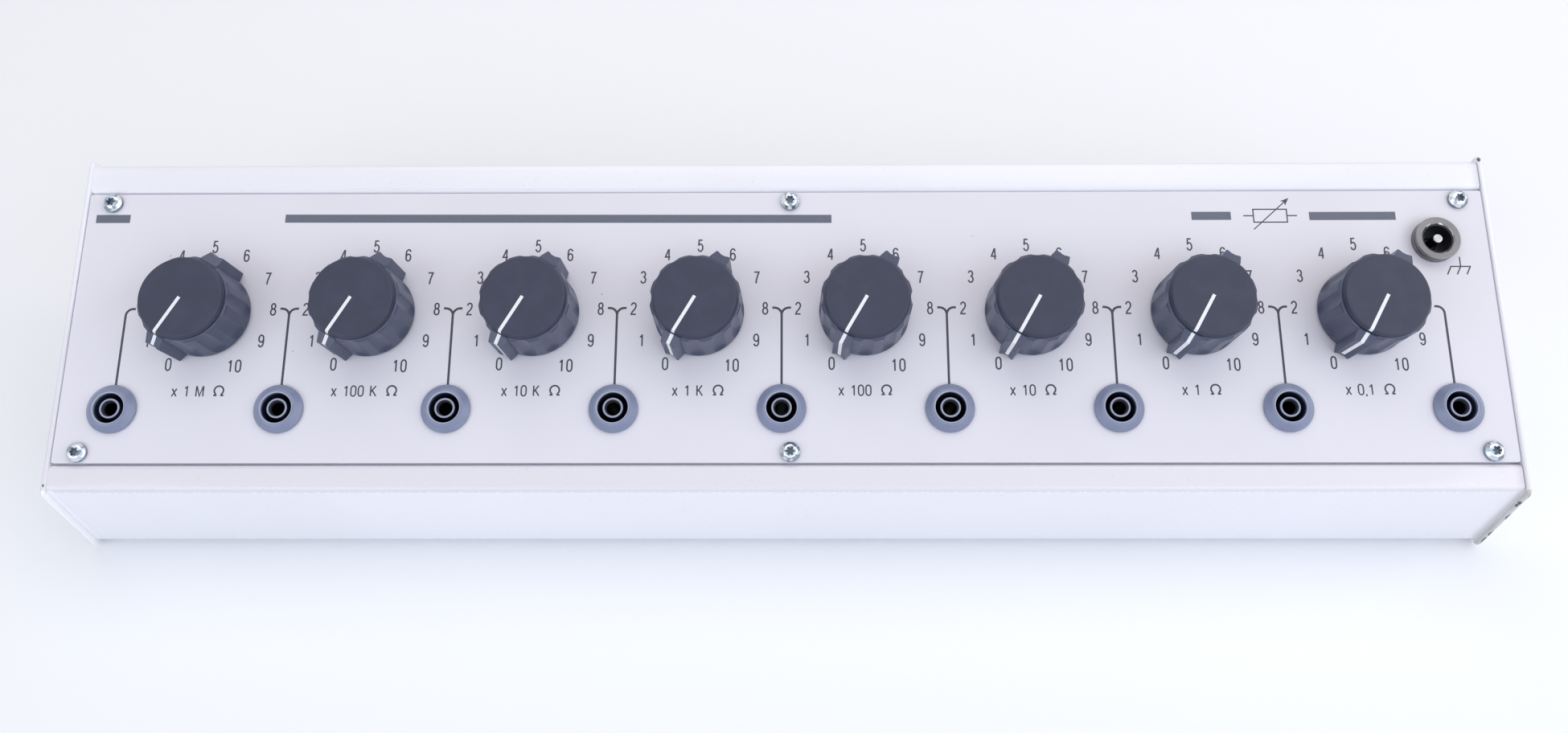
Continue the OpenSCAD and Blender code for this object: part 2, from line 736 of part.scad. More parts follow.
// One wire from each socket to the first tag of the switch on its right, and one to the
// common tag of the switch on its left
module link_wires() {
    color("firebrick") on_panel() for (i = [1:sockets]) {
        start = [(i - 1 - decades / 2) * pitch, socket_y, tail_end];
        bend = [start[0], start[1], wire_level];
        rod(start, bend);
        translate(bend) sphere(r = wire_bend_r, $fn = 32);
        if (i <= decades) wire_to(bend, tag_point(i, dial_zero, tag_back - solder_pad_h));
        if (i > 1) wire_to(bend, tag_point(i - 1, dial_zero + dial_step, tag_back));
    }
}

// Soldering point of a tag, at the given angle round the dial
function tag_point(i, angle, z) =
    [(i - (decades + 1) / 2) * pitch + solder_ring_r * cos(angle),
    dial_y + solder_ring_r * sin(angle), z];

module wire_to(from, to) {
    low = [to[0], to[1], wire_level];
    rod(from, low);
    rod(low, to);
    translate(low) sphere(r = wire_bend_r, $fn = 32);
}

// Round rod from p to q
module rod(p, q) {
    v = q - p;
    flat = norm([v[0], v[1]]);
    translate(p) rotate([0, atan2(flat, v[2]), atan2(v[1], v[0])])
        cylinder(r = wire_r, h = norm(v), $fn = 32);
}

case_wrap();
left_end_plate();
right_end_plate();
front_panel();
panel_screws();
mounting_nuts();
contacts();
earth_shell();
earth_insulator();
link_wires();
rubber_feet();
for (i = [1:sockets]) socket(i);
for (i = [1:decades]) switch_body(i);
for (i = [1:decades]) resistor_ring(i);
for (i = [1:decades]) switch_rotor(i);
for (i = [1:decades]) knob(i);
for (i = [1:decades]) knob_cap(i);
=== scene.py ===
"""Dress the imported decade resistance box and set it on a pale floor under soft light."""

import logging
import math
from dataclasses import dataclass, field
from enum import Enum
from typing import Any, Iterable, Sequence

import bmesh
import bpy
from mathutils import Euler, Matrix, Vector


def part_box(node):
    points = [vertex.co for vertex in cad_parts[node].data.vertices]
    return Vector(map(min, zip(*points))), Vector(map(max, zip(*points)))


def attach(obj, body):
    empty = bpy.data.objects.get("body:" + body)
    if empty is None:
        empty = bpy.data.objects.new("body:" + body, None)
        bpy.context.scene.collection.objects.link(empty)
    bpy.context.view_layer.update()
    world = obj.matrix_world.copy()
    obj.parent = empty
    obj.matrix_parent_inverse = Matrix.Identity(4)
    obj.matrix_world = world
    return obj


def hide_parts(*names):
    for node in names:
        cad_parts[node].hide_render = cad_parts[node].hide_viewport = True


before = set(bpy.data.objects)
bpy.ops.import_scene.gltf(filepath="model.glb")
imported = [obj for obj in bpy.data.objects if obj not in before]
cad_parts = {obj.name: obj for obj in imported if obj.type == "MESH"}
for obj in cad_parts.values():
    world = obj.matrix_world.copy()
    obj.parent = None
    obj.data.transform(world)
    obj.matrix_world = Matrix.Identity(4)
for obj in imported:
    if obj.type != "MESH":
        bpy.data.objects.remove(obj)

log = logging.getLogger("decade_box")

MM = 0.001
Pair = tuple[float, float]
Colour = tuple[float, float, float]
ORIGIN = Vector((0.0, 0.0, 0.0))
AXIS_X = Vector((1.0, 0.0, 0.0))
AXIS_Y = Vector((0.0, 1.0, 0.0))
AXIS_Z = Vector((0.0, 0.0, 1.0))


# Places on the panel


@dataclass(frozen=True)
class PanelPlane:
    """The panel's face: x along the row of dials, y up the slope, z off the face, in millimetres."""

    slope: float = 20.0
    length_up: float = 101.1
    fold_height: float = 34.0
    pitch: float = 48.5
    dials: int = 8
    socket_y: float = 23.7
    dial_y: float = 52.5
    scale_y: float = 54.0
    earth: Pair = (193.6, 74.3)
    screws_x: tuple[float, ...] = (-202.3, 2.5, 202.3)
    screws_y: Pair = (11.0, 87.5)

    def matrix(self) -> Matrix:
        """Transform from millimetres on the panel to metres in the row's frame.

        Returns:
            The transform.
        """
        depth = self.length_up * math.cos(math.radians(self.slope))
        origin = Vector((0.0, -depth / 2, self.fold_height)) * MM
        turn = Matrix.Rotation(math.radians(self.slope), 4, "X")
        return Matrix.Translation(origin) @ turn @ Matrix.Scale(MM, 4)

    def point(self, x: float, y: float, z: float = 0.0) -> Vector:
        """Place in metres of a point on the panel."""
        return self.matrix() @ Vector((x, y, z))

    def normal(self) -> Vector:
        """Direction straight off the panel."""
        return Matrix.Rotation(math.radians(self.slope), 3, "X") @ AXIS_Z

    def dial_x(self, number: int) -> float:
        """Middle of a dial, counted from 1 at the left."""
        return (number - (self.dials + 1) / 2) * self.pitch

    def socket_x(self, number: int) -> float:
        """Middle of a socket, counted from 1 at the left."""
        return (number - 1 - self.dials / 2) * self.pitch


PANEL = PanelPlane()


# Shader arithmetic


class Signal:
    """A socket's value in a node tree, with arithmetic that adds the Math nodes."""

    def __init__(self, tree: "Sheet", socket: Any) -> None:
        """Wrap an output socket of the tree."""
        self.tree = tree
        self.socket = socket

    def _sum(self, operation: str, *values: Any) -> "Signal":
        """Add one Math node over the given values."""
        return self.tree.add("ShaderNodeMath", {"operation": operation}, dict(enumerate(values)))

    def __add__(self, other: Any) -> "Signal":
        """Sum."""
        return self._sum("ADD", self, other)

    __radd__ = __add__

    def __mul__(self, other: Any) -> "Signal":
        """Product."""
        return self._sum("MULTIPLY", self, other)

    __rmul__ = __mul__

    def __sub__(self, other: Any) -> "Signal":
        """Difference."""
        return self._sum("SUBTRACT", self, other)

    def __rsub__(self, other: Any) -> "Signal":
        """Difference from a number."""
        return self._sum("SUBTRACT", other, self)

    def __truediv__(self, other: Any) -> "Signal":
        """Quotient."""
        return self._sum("DIVIDE", self, other)

    def __pow__(self, other: Any) -> "Signal":
        """Power."""
        return self._sum("POWER", self, other)

    def __mod__(self, other: Any) -> "Signal":
        """Remainder that stays positive."""
        return self._sum("FLOORED_MODULO", self, other)

    def size(self) -> "Signal":
        """Absolute value."""
        return self._sum("ABSOLUTE", self)

    def above(self, low: float, high: float) -> "Signal":
        """Smooth step from 0 at low to 1 at high."""
        return self.tree.add("ShaderNodeMapRange", {"interpolation_type": "SMOOTHSTEP"},
                             {"Value": self, "From Min": low, "From Max": high})

    def greatest(self, other: Any) -> "Signal":
        """The larger of two values."""
        return self._sum("MAXIMUM", self, other)


class Sheet:
    """A node tree whose nodes all come from one method."""

    def __init__(self, owner: Any) -> None:
        """Open the node tree of a material or a world.

        Args:
            owner: the material or world.
        """
        owner.use_nodes = True
        self.nodes = owner.node_tree.nodes
        self.links = owner.node_tree.links

    def node(self, kind: str, settings: dict[str, Any], values: dict[Any, Any]) -> Any:
        """Make a node.

        Args:
            kind: the node's type.
            settings: its properties, set before its sockets; "stops" are a ramp's stops.
            values: a number, colour or Signal for each named or numbered input.

        Returns:
            The node.
        """
        node = self.nodes.new(kind)
        for key, value in settings.items():
            if key == "stops":
                self._stops(node.color_ramp, value)
            else:
                setattr(node, key, value)
        for key, value in values.items():
            self.feed(node.inputs[key], value)
        return node

    def add(self, kind: str, settings: dict[str, Any], values: dict[Any, Any],
            output: int | str = 0) -> Signal:
        """Make a node and hand back one of its outputs."""
        return Signal(self, self.node(kind, settings, values).outputs[output])

    def _stops(self, ramp: Any, stops: Sequence[tuple[float, Colour]]) -> None:
        """Set a ramp's stops.

        Args:
            ramp: the ramp of a node.
            stops: place and colour of each stop, in order.
        """
        while len(ramp.elements) > 1:
            ramp.elements.remove(ramp.elements[-1])
        for i, (place, colour) in enumerate(stops):
            element = ramp.elements[0] if i == 0 else ramp.elements.new(place)
            element.position = place
            element.color = (*colour, 1.0)

    def feed(self, socket: Any, value: Any) -> None:
        """Link a Signal to a socket, or set the socket's own number or colour.

        Args:
            socket: the input.
            value: a Signal, number, colour or vector.
        """
        if isinstance(value, Signal):
            self.links.new(value.socket, socket)
        elif isinstance(value, (tuple, Vector)) and socket.type == "RGBA":
            socket.default_value = (*value, 1.0) if len(value) == 3 else value
        else:
            socket.default_value = value


class Tree(Sheet):
    """The node tree of one material."""

    def __init__(self, name: str) -> None:
        """Start a material of this name with a Principled shader.

        Args:
            name: name of the material.
        """
        self.material = bpy.data.materials.new(name)
        super().__init__(self.material)
        self.shader = self.nodes["Principled BSDF"]

    def place(self) -> Signal:
        """Position on the object at rest, in metres."""
        return self.add("ShaderNodeTexCoord", {}, {}, "Object")

    def noise(self, per_metre: float, detail: float = 2.0, rough: float = 0.5,
              at: Signal | None = None) -> Signal:
        """Noise from 0 to 1 with so many features to the metre."""
        return self.add("ShaderNodeTexNoise", {}, {"Vector": at or self.place(), "Scale": per_metre,
                                                   "Detail": detail, "Roughness": rough}, 0)

    def mix(self, share: Any, first: Any, second: Any) -> Signal:
        """Blend of two colours."""
        return self.add("ShaderNodeMix", {"data_type": "RGBA"},
                        {0: share, 6: first, 7: second}, 2)

    def vector(self, operation: str, first: Any, second: Any, output: int = 0) -> Signal:
        """One Vector Math node over two vectors."""
        return self.add("ShaderNodeVectorMath", {"operation": operation}, {0: first, 1: second}, output)

    def level(self) -> Signal:
        """Height in millimetres over the panel's face."""
        return self.along(PANEL.normal(), PANEL.point(0.0, 0.0)) / MM

    def along(self, direction: Vector, origin: Vector) -> Signal:
        """Distance in metres along a direction from an origin."""
        return self.vector("DOT_PRODUCT", self.vector("SUBTRACT", self.place(), origin), direction, 1)

    def offset(self, direction: Vector) -> Signal:
        """Distance in millimetres along a direction from the part's origin."""
        return self.along(direction, ORIGIN) / MM

    def radius(self, axis: Vector, origin: Vector) -> Signal:
        """Distance in metres from an axis through an origin."""
        crossed = self.vector("CROSS_PRODUCT", self.vector("SUBTRACT", self.place(), origin), axis)
        return self.vector("LENGTH", crossed, (0.0, 0.0, 0.0), 1)

    def bump(self, height: Signal, depth_mm: float) -> None:
        """Raise the surface by height times a depth in millimetres, on top of any bump before.

        Args:
            height: relief of the surface.
            depth_mm: depth in millimetres of a relief of 1.
        """
        normal = self.shader.inputs["Normal"]
        before = normal.links[0].from_socket if normal.links else None
        values: dict[str, Any] = {"Height": height, "Distance": depth_mm * MM, "Strength": 1.0}
        if before is not None:
            values["Normal"] = Signal(self, before)
        self.feed(normal, self.add("ShaderNodeBump", {}, values))

    def set(self, **sockets: Any) -> None:
        """Set or link the shader's sockets, with spaces written as underscores."""
        for name, value in sockets.items():
            self.feed(self.shader.inputs[name.replace("_", " ")], value)


# Finishes


@dataclass(frozen=True)
class Chip:
    """A place where the paint has come off, in metres, with its radius in millimetres."""

    place: Vector
    radius: float


@dataclass(frozen=True)
class PowderCoat:
    """Textured white powder coat with soft orange peel and a few chips, and painted light and shade at its
    folds, seams and plate edges.
    """

    name: str
    colour: Colour = (0.875, 0.885, 0.955)
    handled: Colour = (0.775, 0.76, 0.835)
    chips: tuple[Chip, ...] = ()
    bare: Colour = (0.045, 0.036, 0.034)
    grime: Colour = (0.50, 0.485, 0.47)
    joint_x: float | None = None
    band_y: float | None = None
    band: Colour = (0.50, 0.485, 0.47)
    band_cover: float = 0.6
    edge_x: float | None = None
    front_y: float = -46.6
    upper_bend: float = 32.7
    lower_bend: float = 2.9

    def _chipped(self, tree: Tree) -> Signal:
        """Where the coat is off: ragged patches, longer down the edge than across it.

        Args:
            tree: the coat's node tree.

        Returns:
            1 where the coat is off, 0 elsewhere.
        """
        ragged = tree.noise(900, 4.0, 0.7) * 1.1
        mask: Any = None
        for chip in self.chips:
            off = tree.vector("MULTIPLY", tree.vector("SUBTRACT", tree.place(), chip.place), (1.0, 0.6, 0.42))
            reach = tree.vector("LENGTH", off, (0.0, 0.0, 0.0), 1) / (chip.radius * MM)
            hit = 1 - (reach + ragged).above(1.35, 1.55)
            mask = hit if mask is None else mask.greatest(hit)
        return mask

    def _joined(self, tree: Tree, tone: Signal, sideways: Signal) -> Signal:
        """Painted shade along the seam and on the wall beside the right end plate, and painted light on the
        wall beside the left one.

        Args:
            tree: the coat's node tree.
            tone: colour of the coat so far.
            sideways: millimetres along x from the part's origin.

        Returns:
            The colour with the painted shade and light.
        """
        # Painted shade: a dark seam line with a soft grey beside it on the slope at the right end.
        flange = tree.level().above(-0.75, -0.1)
        soft = sideways.above(self.joint_x - 3.0, self.joint_x) * 0.22
        seam = sideways.above(self.joint_x - 0.4, self.joint_x - 0.12) * 0.85
        tone = tree.mix(soft.greatest(seam) * flange, tone, (0.14, 0.14, 0.15))
        # Painted shade on the front wall beside the right end plate, in the same grey that marks the dirt
        # pits.
        right = sideways.above(self.joint_x - 3.4, self.joint_x - 0.3) * (1 - flange)
        tone = tree.mix(right * 0.42, tone, self.grime)
        # Painted light: the front wall beside the left end plate is toned brighter.
        left = (0 - sideways).above(self.joint_x - 1.9, self.joint_x - 1.3) * (1 - flange)
        return tree.mix(left * 0.8, tone, (0.96, 0.985, 1.0))

    def _glints(self, tree: Tree, rearward: Signal, upward: Signal) -> Signal:
        """Painted highlights: white spots along the front wall's upper and lower bend.

        Args:
            tree: the coat's node tree.
            rearward: millimetres along y from the part's origin.
            upward: millimetres along z from the part's origin.

        Returns:
            1 on a painted highlight, 0 elsewhere.
        """
        along_x = tree.vector("MULTIPLY", tree.place(), (1.0, 0.0, 0.0))
        front = 1 - rearward.above(self.front_y, self.front_y + 0.4)
        upper = 1 - (upward - self.upper_bend).size().above(0.1, 0.26)
        lower = 1 - (upward - self.lower_bend).size().above(0.1, 0.26)
        spots = tree.noise(760, 0.0, 0.5, along_x).above(0.5, 0.57)
        rarer = tree.noise(1100, 0.0, 0.5, along_x).above(0.6, 0.66)
        return (upper * spots).greatest(lower * rarer) * front

    def make(self) -> bpy.types.Material:
        """Build the material.

        Returns:
            The material.
        """
        tree = Tree(self.name)
        peel = tree.noise(560, 1.0) * 0.65 + tree.noise(1250, 1.0) * 0.35
        cloud = tree.noise(14, 3.0)
        tone = tree.mix(cloud.above(0.35, 0.7), self.colour, tuple(c * 0.965 for c in self.colour))
        rearward = tree.offset(AXIS_Y)
        upward = tree.offset(AXIS_Z)
        # Painted shade: the front flange is toned warmer and darker than the front wall.
        flange_shade_mask = (1 - rearward.above(-38.0, 15.0)) * tree.level().above(-1.4, -0.94)
        tone = tree.mix(flange_shade_mask, tone, self.handled)
        sideways = tree.offset(AXIS_X)
        pits = tree.noise(760, 2.0).above(0.66, 0.74) * 0.16
        tone = tree.mix(pits, tone, self.grime)
        rough: Any = 0.3 + tree.noise(180, 3.0) * 0.16
        fold = 1 - (tree.radius(AXIS_X, PANEL.point(0.0, 0.0)) / MM).above(1.6, 3.4)
        height = peel * (1 + fold * 1.6)
        # Painted light and shade on a plate's front edge: grey shade on the right plate, a brighter band on
        # the left one.
        if self.band_y is not None:
            forward = (self.band_y - rearward).above(-0.2, 0.3)
            tone = tree.mix(forward * (self.band_cover + tree.noise(150, 4.0, 0.6) * 0.5), tone, self.band)
        # Painted shade: a thin dark line along the left plate's outer edge.
        if self.edge_x is not None:
            rim = tree.level().above(-0.4, 0.1)
            edge = (0 - sideways).above(self.edge_x - 0.3, self.edge_x) * rim
            tone = tree.mix(edge * (0.3 + tree.noise(210, 2.0) * 0.5), tone, (0.22, 0.22, 0.24))
        if self.joint_x is not None:
            tone = self._joined(tree, tone, sideways)
            # Painted highlights in white along the front wall's bends.
            painted_glint = self._glints(tree, rearward, upward)
            tone = tree.mix(painted_glint, tone, (1.0, 1.0, 1.0))
        if self.chips:
            mask = self._chipped(tree)
            rust = tree.mix(tree.noise(2400, 3.0), self.bare, (0.10, 0.095, 0.10))
            tone = tree.mix(mask, tone, rust)
            rough = rough + mask * 0.25
            height = height - mask * 1.1
        tree.bump(height, 0.06)
        tree.set(Base_Color=tone, Roughness=rough, Coat_Weight=0.6, Coat_Roughness=0.1)
        return tree.material


@dataclass(frozen=True)
class PanelLacquer:
    """Satin white lacquer of the printed panel, with a fine grain and a few specks of dirt."""

    name: str = "panel_lacquer"
    colour: Colour = (0.775, 0.77, 0.85)

    def make(self) -> bpy.types.Material:
        """Build the material.

        Returns:
            The material.
        """
        tree = Tree(self.name)
        grain = tree.noise(2600, 2.0)
        cloud = tree.noise(22, 3.0)
        tone = tree.mix(cloud.above(0.35, 0.7), self.colour, tuple(c * 0.972 for c in self.colour))
        cells = tree.add("ShaderNodeTexVoronoi", {"feature": "F1"},
                         {"Vector": tree.place(), "Scale": 95.0, "Randomness": 1.0}, "Distance")
        ragged = tree.noise(3100, 2.0)
        rare = tree.noise(60, 0.0).above(0.58, 0.62)
        speck = (1 - (cells + ragged * 0.03).above(0.035, 0.055)) * rare * 0.5
        tone = tree.mix(speck, tone, (0.33, 0.32, 0.34))
        tree.bump(grain * 0.7 + tree.noise(700, 1.0) * 0.3, 0.012)
        tree.set(Base_Color=tone, Roughness=0.42 + tree.noise(90, 3.0) * 0.12, Coat_Weight=0.0)
        return tree.material


@dataclass(frozen=True)
class MouldedPlastic:
    """Matt moulded plastic with the fine grain of an eroded mould."""

    name: str
    colour: Colour
    rough: float = 0.5
    grain_mm: float = 0.012
    grains: float = 2800.0
    dust: float = 0.06
    coat: float = 0.0
    sockets: bool = False

    def _wells(self, tree: Tree, tone: Signal) -> Signal:
        """Painted shade in the well and bore of every socket, and painted highlights on the rim and the
        sleeve's mouth.

        Args:
            tree: the plastic's node tree.
            tone: colour of the plastic so far.

        Returns:
            The colour with the painted shade and highlights.
        """
        half = PANEL.pitch / 2
        across = (tree.offset(AXIS_X) + half) % PANEL.pitch - half
        upslope = PANEL.normal().cross(AXIS_X)
        up = tree.along(upslope, PANEL.point(0.0, PANEL.socket_y)) / MM
        radius = (across * across + up * up) ** 0.5
        level = tree.level()
        mouth = radius.above(2.3, 2.45) * (1 - radius.above(2.95, 3.05)) * level.above(1.6, 1.85)
        rim = radius.above(4.38, 4.5) * (1 - radius.above(4.62, 4.85)) * level.above(2.2, 2.45)
        well = radius.above(2.85, 2.95) * (1 - radius.above(4.4, 4.5)) * (1 - level.above(1.45, 1.8))
        bore = (1 - radius.above(2.45, 2.6)) * (1 - level.above(1.3, 1.75))
        # Painted highlights on the sleeve's mouth and the well's rim; painted shade in the bore and the well.
        tone = tree.mix((mouth * 0.35).greatest(rim * 0.5), tone, (0.62, 0.67, 0.80))
        tone = tree.mix(bore * 0.8, tone, (0.02, 0.025, 0.045))
        return tree.mix(well * 0.93, tone, (0.009, 0.013, 0.034))

    def make(self) -> bpy.types.Material:
        """Build the material.

        Returns:
            The material.
        """
        tree = Tree(self.name)
        grain = tree.noise(self.grains, 3.0, 0.6)
        cloud = tree.noise(160, 3.0)
        lighter = tuple(c * 1.12 + 0.004 for c in self.colour)
        tone = tree.mix(cloud.above(0.4, 0.75), self.colour, lighter)
        dust = tree.noise(5200, 1.0).above(0.70, 0.78) * tree.noise(210, 2.0).above(0.45, 0.7) * self.dust
        tone = tree.mix(dust, tone, (0.45, 0.46, 0.5))
        if self.sockets:
            tone = self._wells(tree, tone)
        tree.bump(grain, self.grain_mm)
        tree.set(Base_Color=tone, Roughness=self.rough - 0.05 + tree.noise(240, 3.0) * 0.12,
                 Coat_Weight=self.coat, Coat_Roughness=0.24, Coat_Tint=(0.84, 0.91, 1.0))
        return tree.material


@dataclass(frozen=True)
class ZincPlate:
    """Bright zinc plate with the faint blue and straw tints of its passivation, painted shade in the recesses
    and painted dark reflections.
    """

    name: str = "zinc_plate"

    def make(self) -> bpy.types.Material:
        """Build the material.

        Returns:
            The material.
        """
        tree = Tree(self.name)
        tint = tree.add("ShaderNodeValToRGB", {"stops": (
            (0.30, (0.50, 0.60, 0.70)), (0.55, (0.70, 0.74, 0.78)), (0.78, (0.78, 0.77, 0.73)))},
            {0: tree.noise(420, 2.0)})
        # Painted shade in each screw's recess.
        low = 1 - tree.level().above(0.98, 1.35)
        for x in PANEL.screws_x:
            for y in PANEL.screws_y:
                recess_shade = 1 - (tree.radius(PANEL.normal(), PANEL.point(x, y)) / MM).above(1.5, 1.75)
                tint = tree.mix(recess_shade * low * 0.9, tint, (0.05, 0.065, 0.09))
        # Painted dark reflections in patches over the plate.
        dark_reflection = tree.noise(640, 1.0, 0.4).above(0.53, 0.59) * 0.7
        tint = tree.mix(dark_reflection, tint, (0.15, 0.18, 0.22))
        # Painted dark reflection round the flank of each head.
        flank_reflection = 1 - tree.level().above(0.55, 1.25)
        tint = tree.mix(flank_reflection * (0.35 + tree.noise(520, 2.0) * 0.7), tint, (0.12, 0.15, 0.20))
        scratches = tree.noise(2600, 4.0, 0.7)
        tree.bump(scratches + tree.noise(700, 2.0) * 2.0, 0.012)
        tree.set(Base_Color=tint, Metallic=1.0, Roughness=0.14 + tree.noise(900, 3.0) * 0.16)
        return tree.material


@dataclass(frozen=True)
class TurnedMetal:
    """Metal with the fine rings that turning leaves round an axis, painted highlights on its inner rim and
    painted shade in its groove.
    """

    name: str
    colour: Colour
    centre: Vector
    axis: Vector
    rings_per_mm: float = 7.0
    rough: float = 0.24
    tarnish: Colour = (0.20, 0.185, 0.17)
    bright: Colour = (0.86, 0.86, 0.88)
    bright_within: float = 0.0

    def make(self) -> bpy.types.Material:
        """Build the material.

        Returns:
            The material.
        """
        tree = Tree(self.name)
        radius = tree.radius(self.axis, self.centre)
        wobble = tree.noise(420, 2.0) * 0.00004
        rings = tree.add("ShaderNodeMath", {"operation": "SINE"},
                         {0: (radius + wobble) * (self.rings_per_mm * 1000 * 2 * math.pi)})
        stain = tree.noise(330, 4.0, 0.6).above(0.55, 0.8) * 0.35
        tone = tree.mix(stain, self.colour, self.tarnish)
        # Painted highlights in spots round the inner rim.
        within = 1 - (radius / MM).above(self.bright_within - 0.1, self.bright_within)
        rim_highlight = within * tree.level().above(2.2, 2.6) * tree.noise(340, 1.0).above(0.49, 0.56)
        tone = tree.mix(rim_highlight, tone, self.bright)
        # Painted shade in the groove round the ring.
        groove_shade = tree.level().above(1.3, 1.42) * (1 - tree.level().above(1.78, 1.9))
        tone = tree.mix(groove_shade * 0.85, tone, (0.03, 0.028, 0.028))
        tree.bump(rings * 0.5 + tree.noise(5200, 2.0) * 0.6, 0.004)
        tree.set(Base_Color=tone, Metallic=1.0,
                 Roughness=self.rough + tree.noise(700, 3.0) * 0.12)
        return tree.material


@dataclass(frozen=True)
class DrawnMetal:
    """Plain drawn or pressed metal, dulled and lightly scratched, with painted shade over a given span of
    heights.
    """

    name: str
    colour: Colour
    tarnish: Colour
    rough: float = 0.3
    dark_span: Pair | None = None

    def make(self) -> bpy.types.Material:
        """Build the material.

        Returns:
            The material.
        """
        tree = Tree(self.name)
        stretched = tree.vector("MULTIPLY", tree.place(), (1.0, 1.0, 0.12))
        lines = tree.noise(2400, 3.0, 0.6, stretched)
        stain = tree.noise(260, 4.0, 0.6).above(0.5, 0.8) * 0.5
        tone = tree.mix(stain, self.colour, self.tarnish)
        # Painted shade over the given span of heights, where the contacts sit deep in their bores.
        if self.dark_span is not None:
            low, high = self.dark_span
            level = tree.level()
            depth_shade = level.above(low - 1.0, low) * (1 - level.above(high, high + 1.0))
            tone = tree.mix(depth_shade * 0.95, tone, (0.025, 0.025, 0.032))
        tree.bump(lines, 0.005)
        tree.set(Base_Color=tone, Metallic=1.0, Roughness=self.rough + lines * 0.12)
        return tree.material


@dataclass(frozen=True)
class PrintInk:
    """Screen-printed ink, a little uneven in its covering."""

    name: str
    colour: Colour

    def make(self) -> bpy.types.Material:
        """Build the material.

        Returns:
            The material.
        """
        tree = Tree(self.name)
        cover = tree.noise(1900, 3.0, 0.6)
        lighter = tuple(min(1.0, c * 1.35) for c in self.colour)
        tone = tree.mix(cover.above(0.35, 0.8) * 0.5, self.colour, lighter)
        tree.bump(cover, 0.004)
        tree.set(Base_Color=tone, Roughness=0.46 + tree.noise(300, 2.0) * 0.1)
        return tree.material


@dataclass(frozen=True)
class Phenolic:
    """Brown resin-bonded paper with its fibres."""

    name: str = "phenolic"

    def make(self) -> bpy.types.Material:
        """Build the material.

        Returns:
            The material.
        """
        tree = Tree(self.name)
        fibres = tree.noise(900, 5.0, 0.7, tree.vector("MULTIPLY", tree.place(), (1.0, 0.25, 0.25)))
        tone = tree.add("ShaderNodeValToRGB", {"stops": (
            (0.3, (0.17, 0.085, 0.035)), (0.55, (0.26, 0.14, 0.06)), (0.8, (0.36, 0.21, 0.10)))}, {0: fibres})
        tree.bump(fibres, 0.01)
        tree.set(Base_Color=tone, Roughness=0.38 + fibres * 0.2)
        return tree.material


@dataclass(frozen=True)
class ResistorLacquer:
    """Blue lacquered resistors with colour bands between their tinned leads."""

    name: str
    centre: Vector
    step: float = 30.0
    start: float = 240.0

    def make(self) -> bpy.types.Material:
        """Build the material.

        Returns:
            The material.
        """
        tree = Tree(self.name)
        across = tree.along(AXIS_X, self.centre)
        normal = PANEL.normal()
        up = tree.along(normal.cross(AXIS_X), self.centre)
        angle = tree.add("ShaderNodeMath", {"operation": "ARCTAN2"}, {0: up, 1: across})
        share = ((angle * (180 / math.pi) - self.start) / self.step) % 1.0
        tin = (0.62, 0.61, 0.58)
        body = (0.13, 0.30, 0.46)
        brown = (0.30, 0.10, 0.03)
        black = (0.02, 0.02, 0.02)
        stops = ((0.0, tin), (0.19, body), (0.27, brown), (0.31, body), (0.38, black), (0.42, body),
                 (0.49, black), (0.53, body), (0.69, brown), (0.73, body), (0.81, tin))
        tone = tree.add("ShaderNodeValToRGB", {"stops": stops}, {0: share})
        tone.socket.node.color_ramp.interpolation = "CONSTANT"
        tinned = (share - 0.5).size().above(0.295, 0.315)
        tree.bump(tree.noise(1500, 2.0), 0.006)
        tree.set(Base_Color=tone, Metallic=tinned, Roughness=0.22 + tree.noise(600, 2.0) * 0.14)
        return tree.material


@dataclass(frozen=True)
class Rubber:
    """Moulded rubber, dusty where it has been handled."""

    name: str = "foot_rubber"

    def make(self) -> bpy.types.Material:
        """Build the material.

        Returns:
            The material.
        """
        tree = Tree(self.name)
        dust = tree.noise(480, 5.0, 0.65).above(0.45, 0.75) * 0.4
        tree.bump(tree.noise(2100, 3.0), 0.02)
        tree.set(Base_Color=tree.mix(dust, (0.035, 0.035, 0.037), (0.16, 0.155, 0.15)),
                 Roughness=0.72 + tree.noise(300, 2.0) * 0.15)
        return tree.material


# Printed marks


def arc(centre: Pair, radii: Pair, start: float, end: float, steps: int = 0) -> list[Pair]:
    """Points along an elliptical arc, from one angle to another in degrees.

    Args:
        centre: middle of the arc's ellipse.
        radii: half widths along x and y.
        start: first angle in degrees.
        end: last angle in degrees.
        steps: number of pieces, or 0 for one every 15 degrees and at least 4.

    Returns:
        The points, in order.
    """
    count = steps or max(4, int(abs(end - start) / 15))
    angles = [math.radians(start + (end - start) * i / count) for i in range(count + 1)]
    return [(centre[0] + radii[0] * math.cos(a), centre[1] + radii[1] * math.sin(a)) for a in angles]


@dataclass(frozen=True)
class Glyph:
    """A character as pen strokes, in shares of its height, with its width."""

    width: float
    strokes: tuple[tuple[Pair, ...], ...] = ()
    loops: tuple[tuple[Pair, ...], ...] = ()


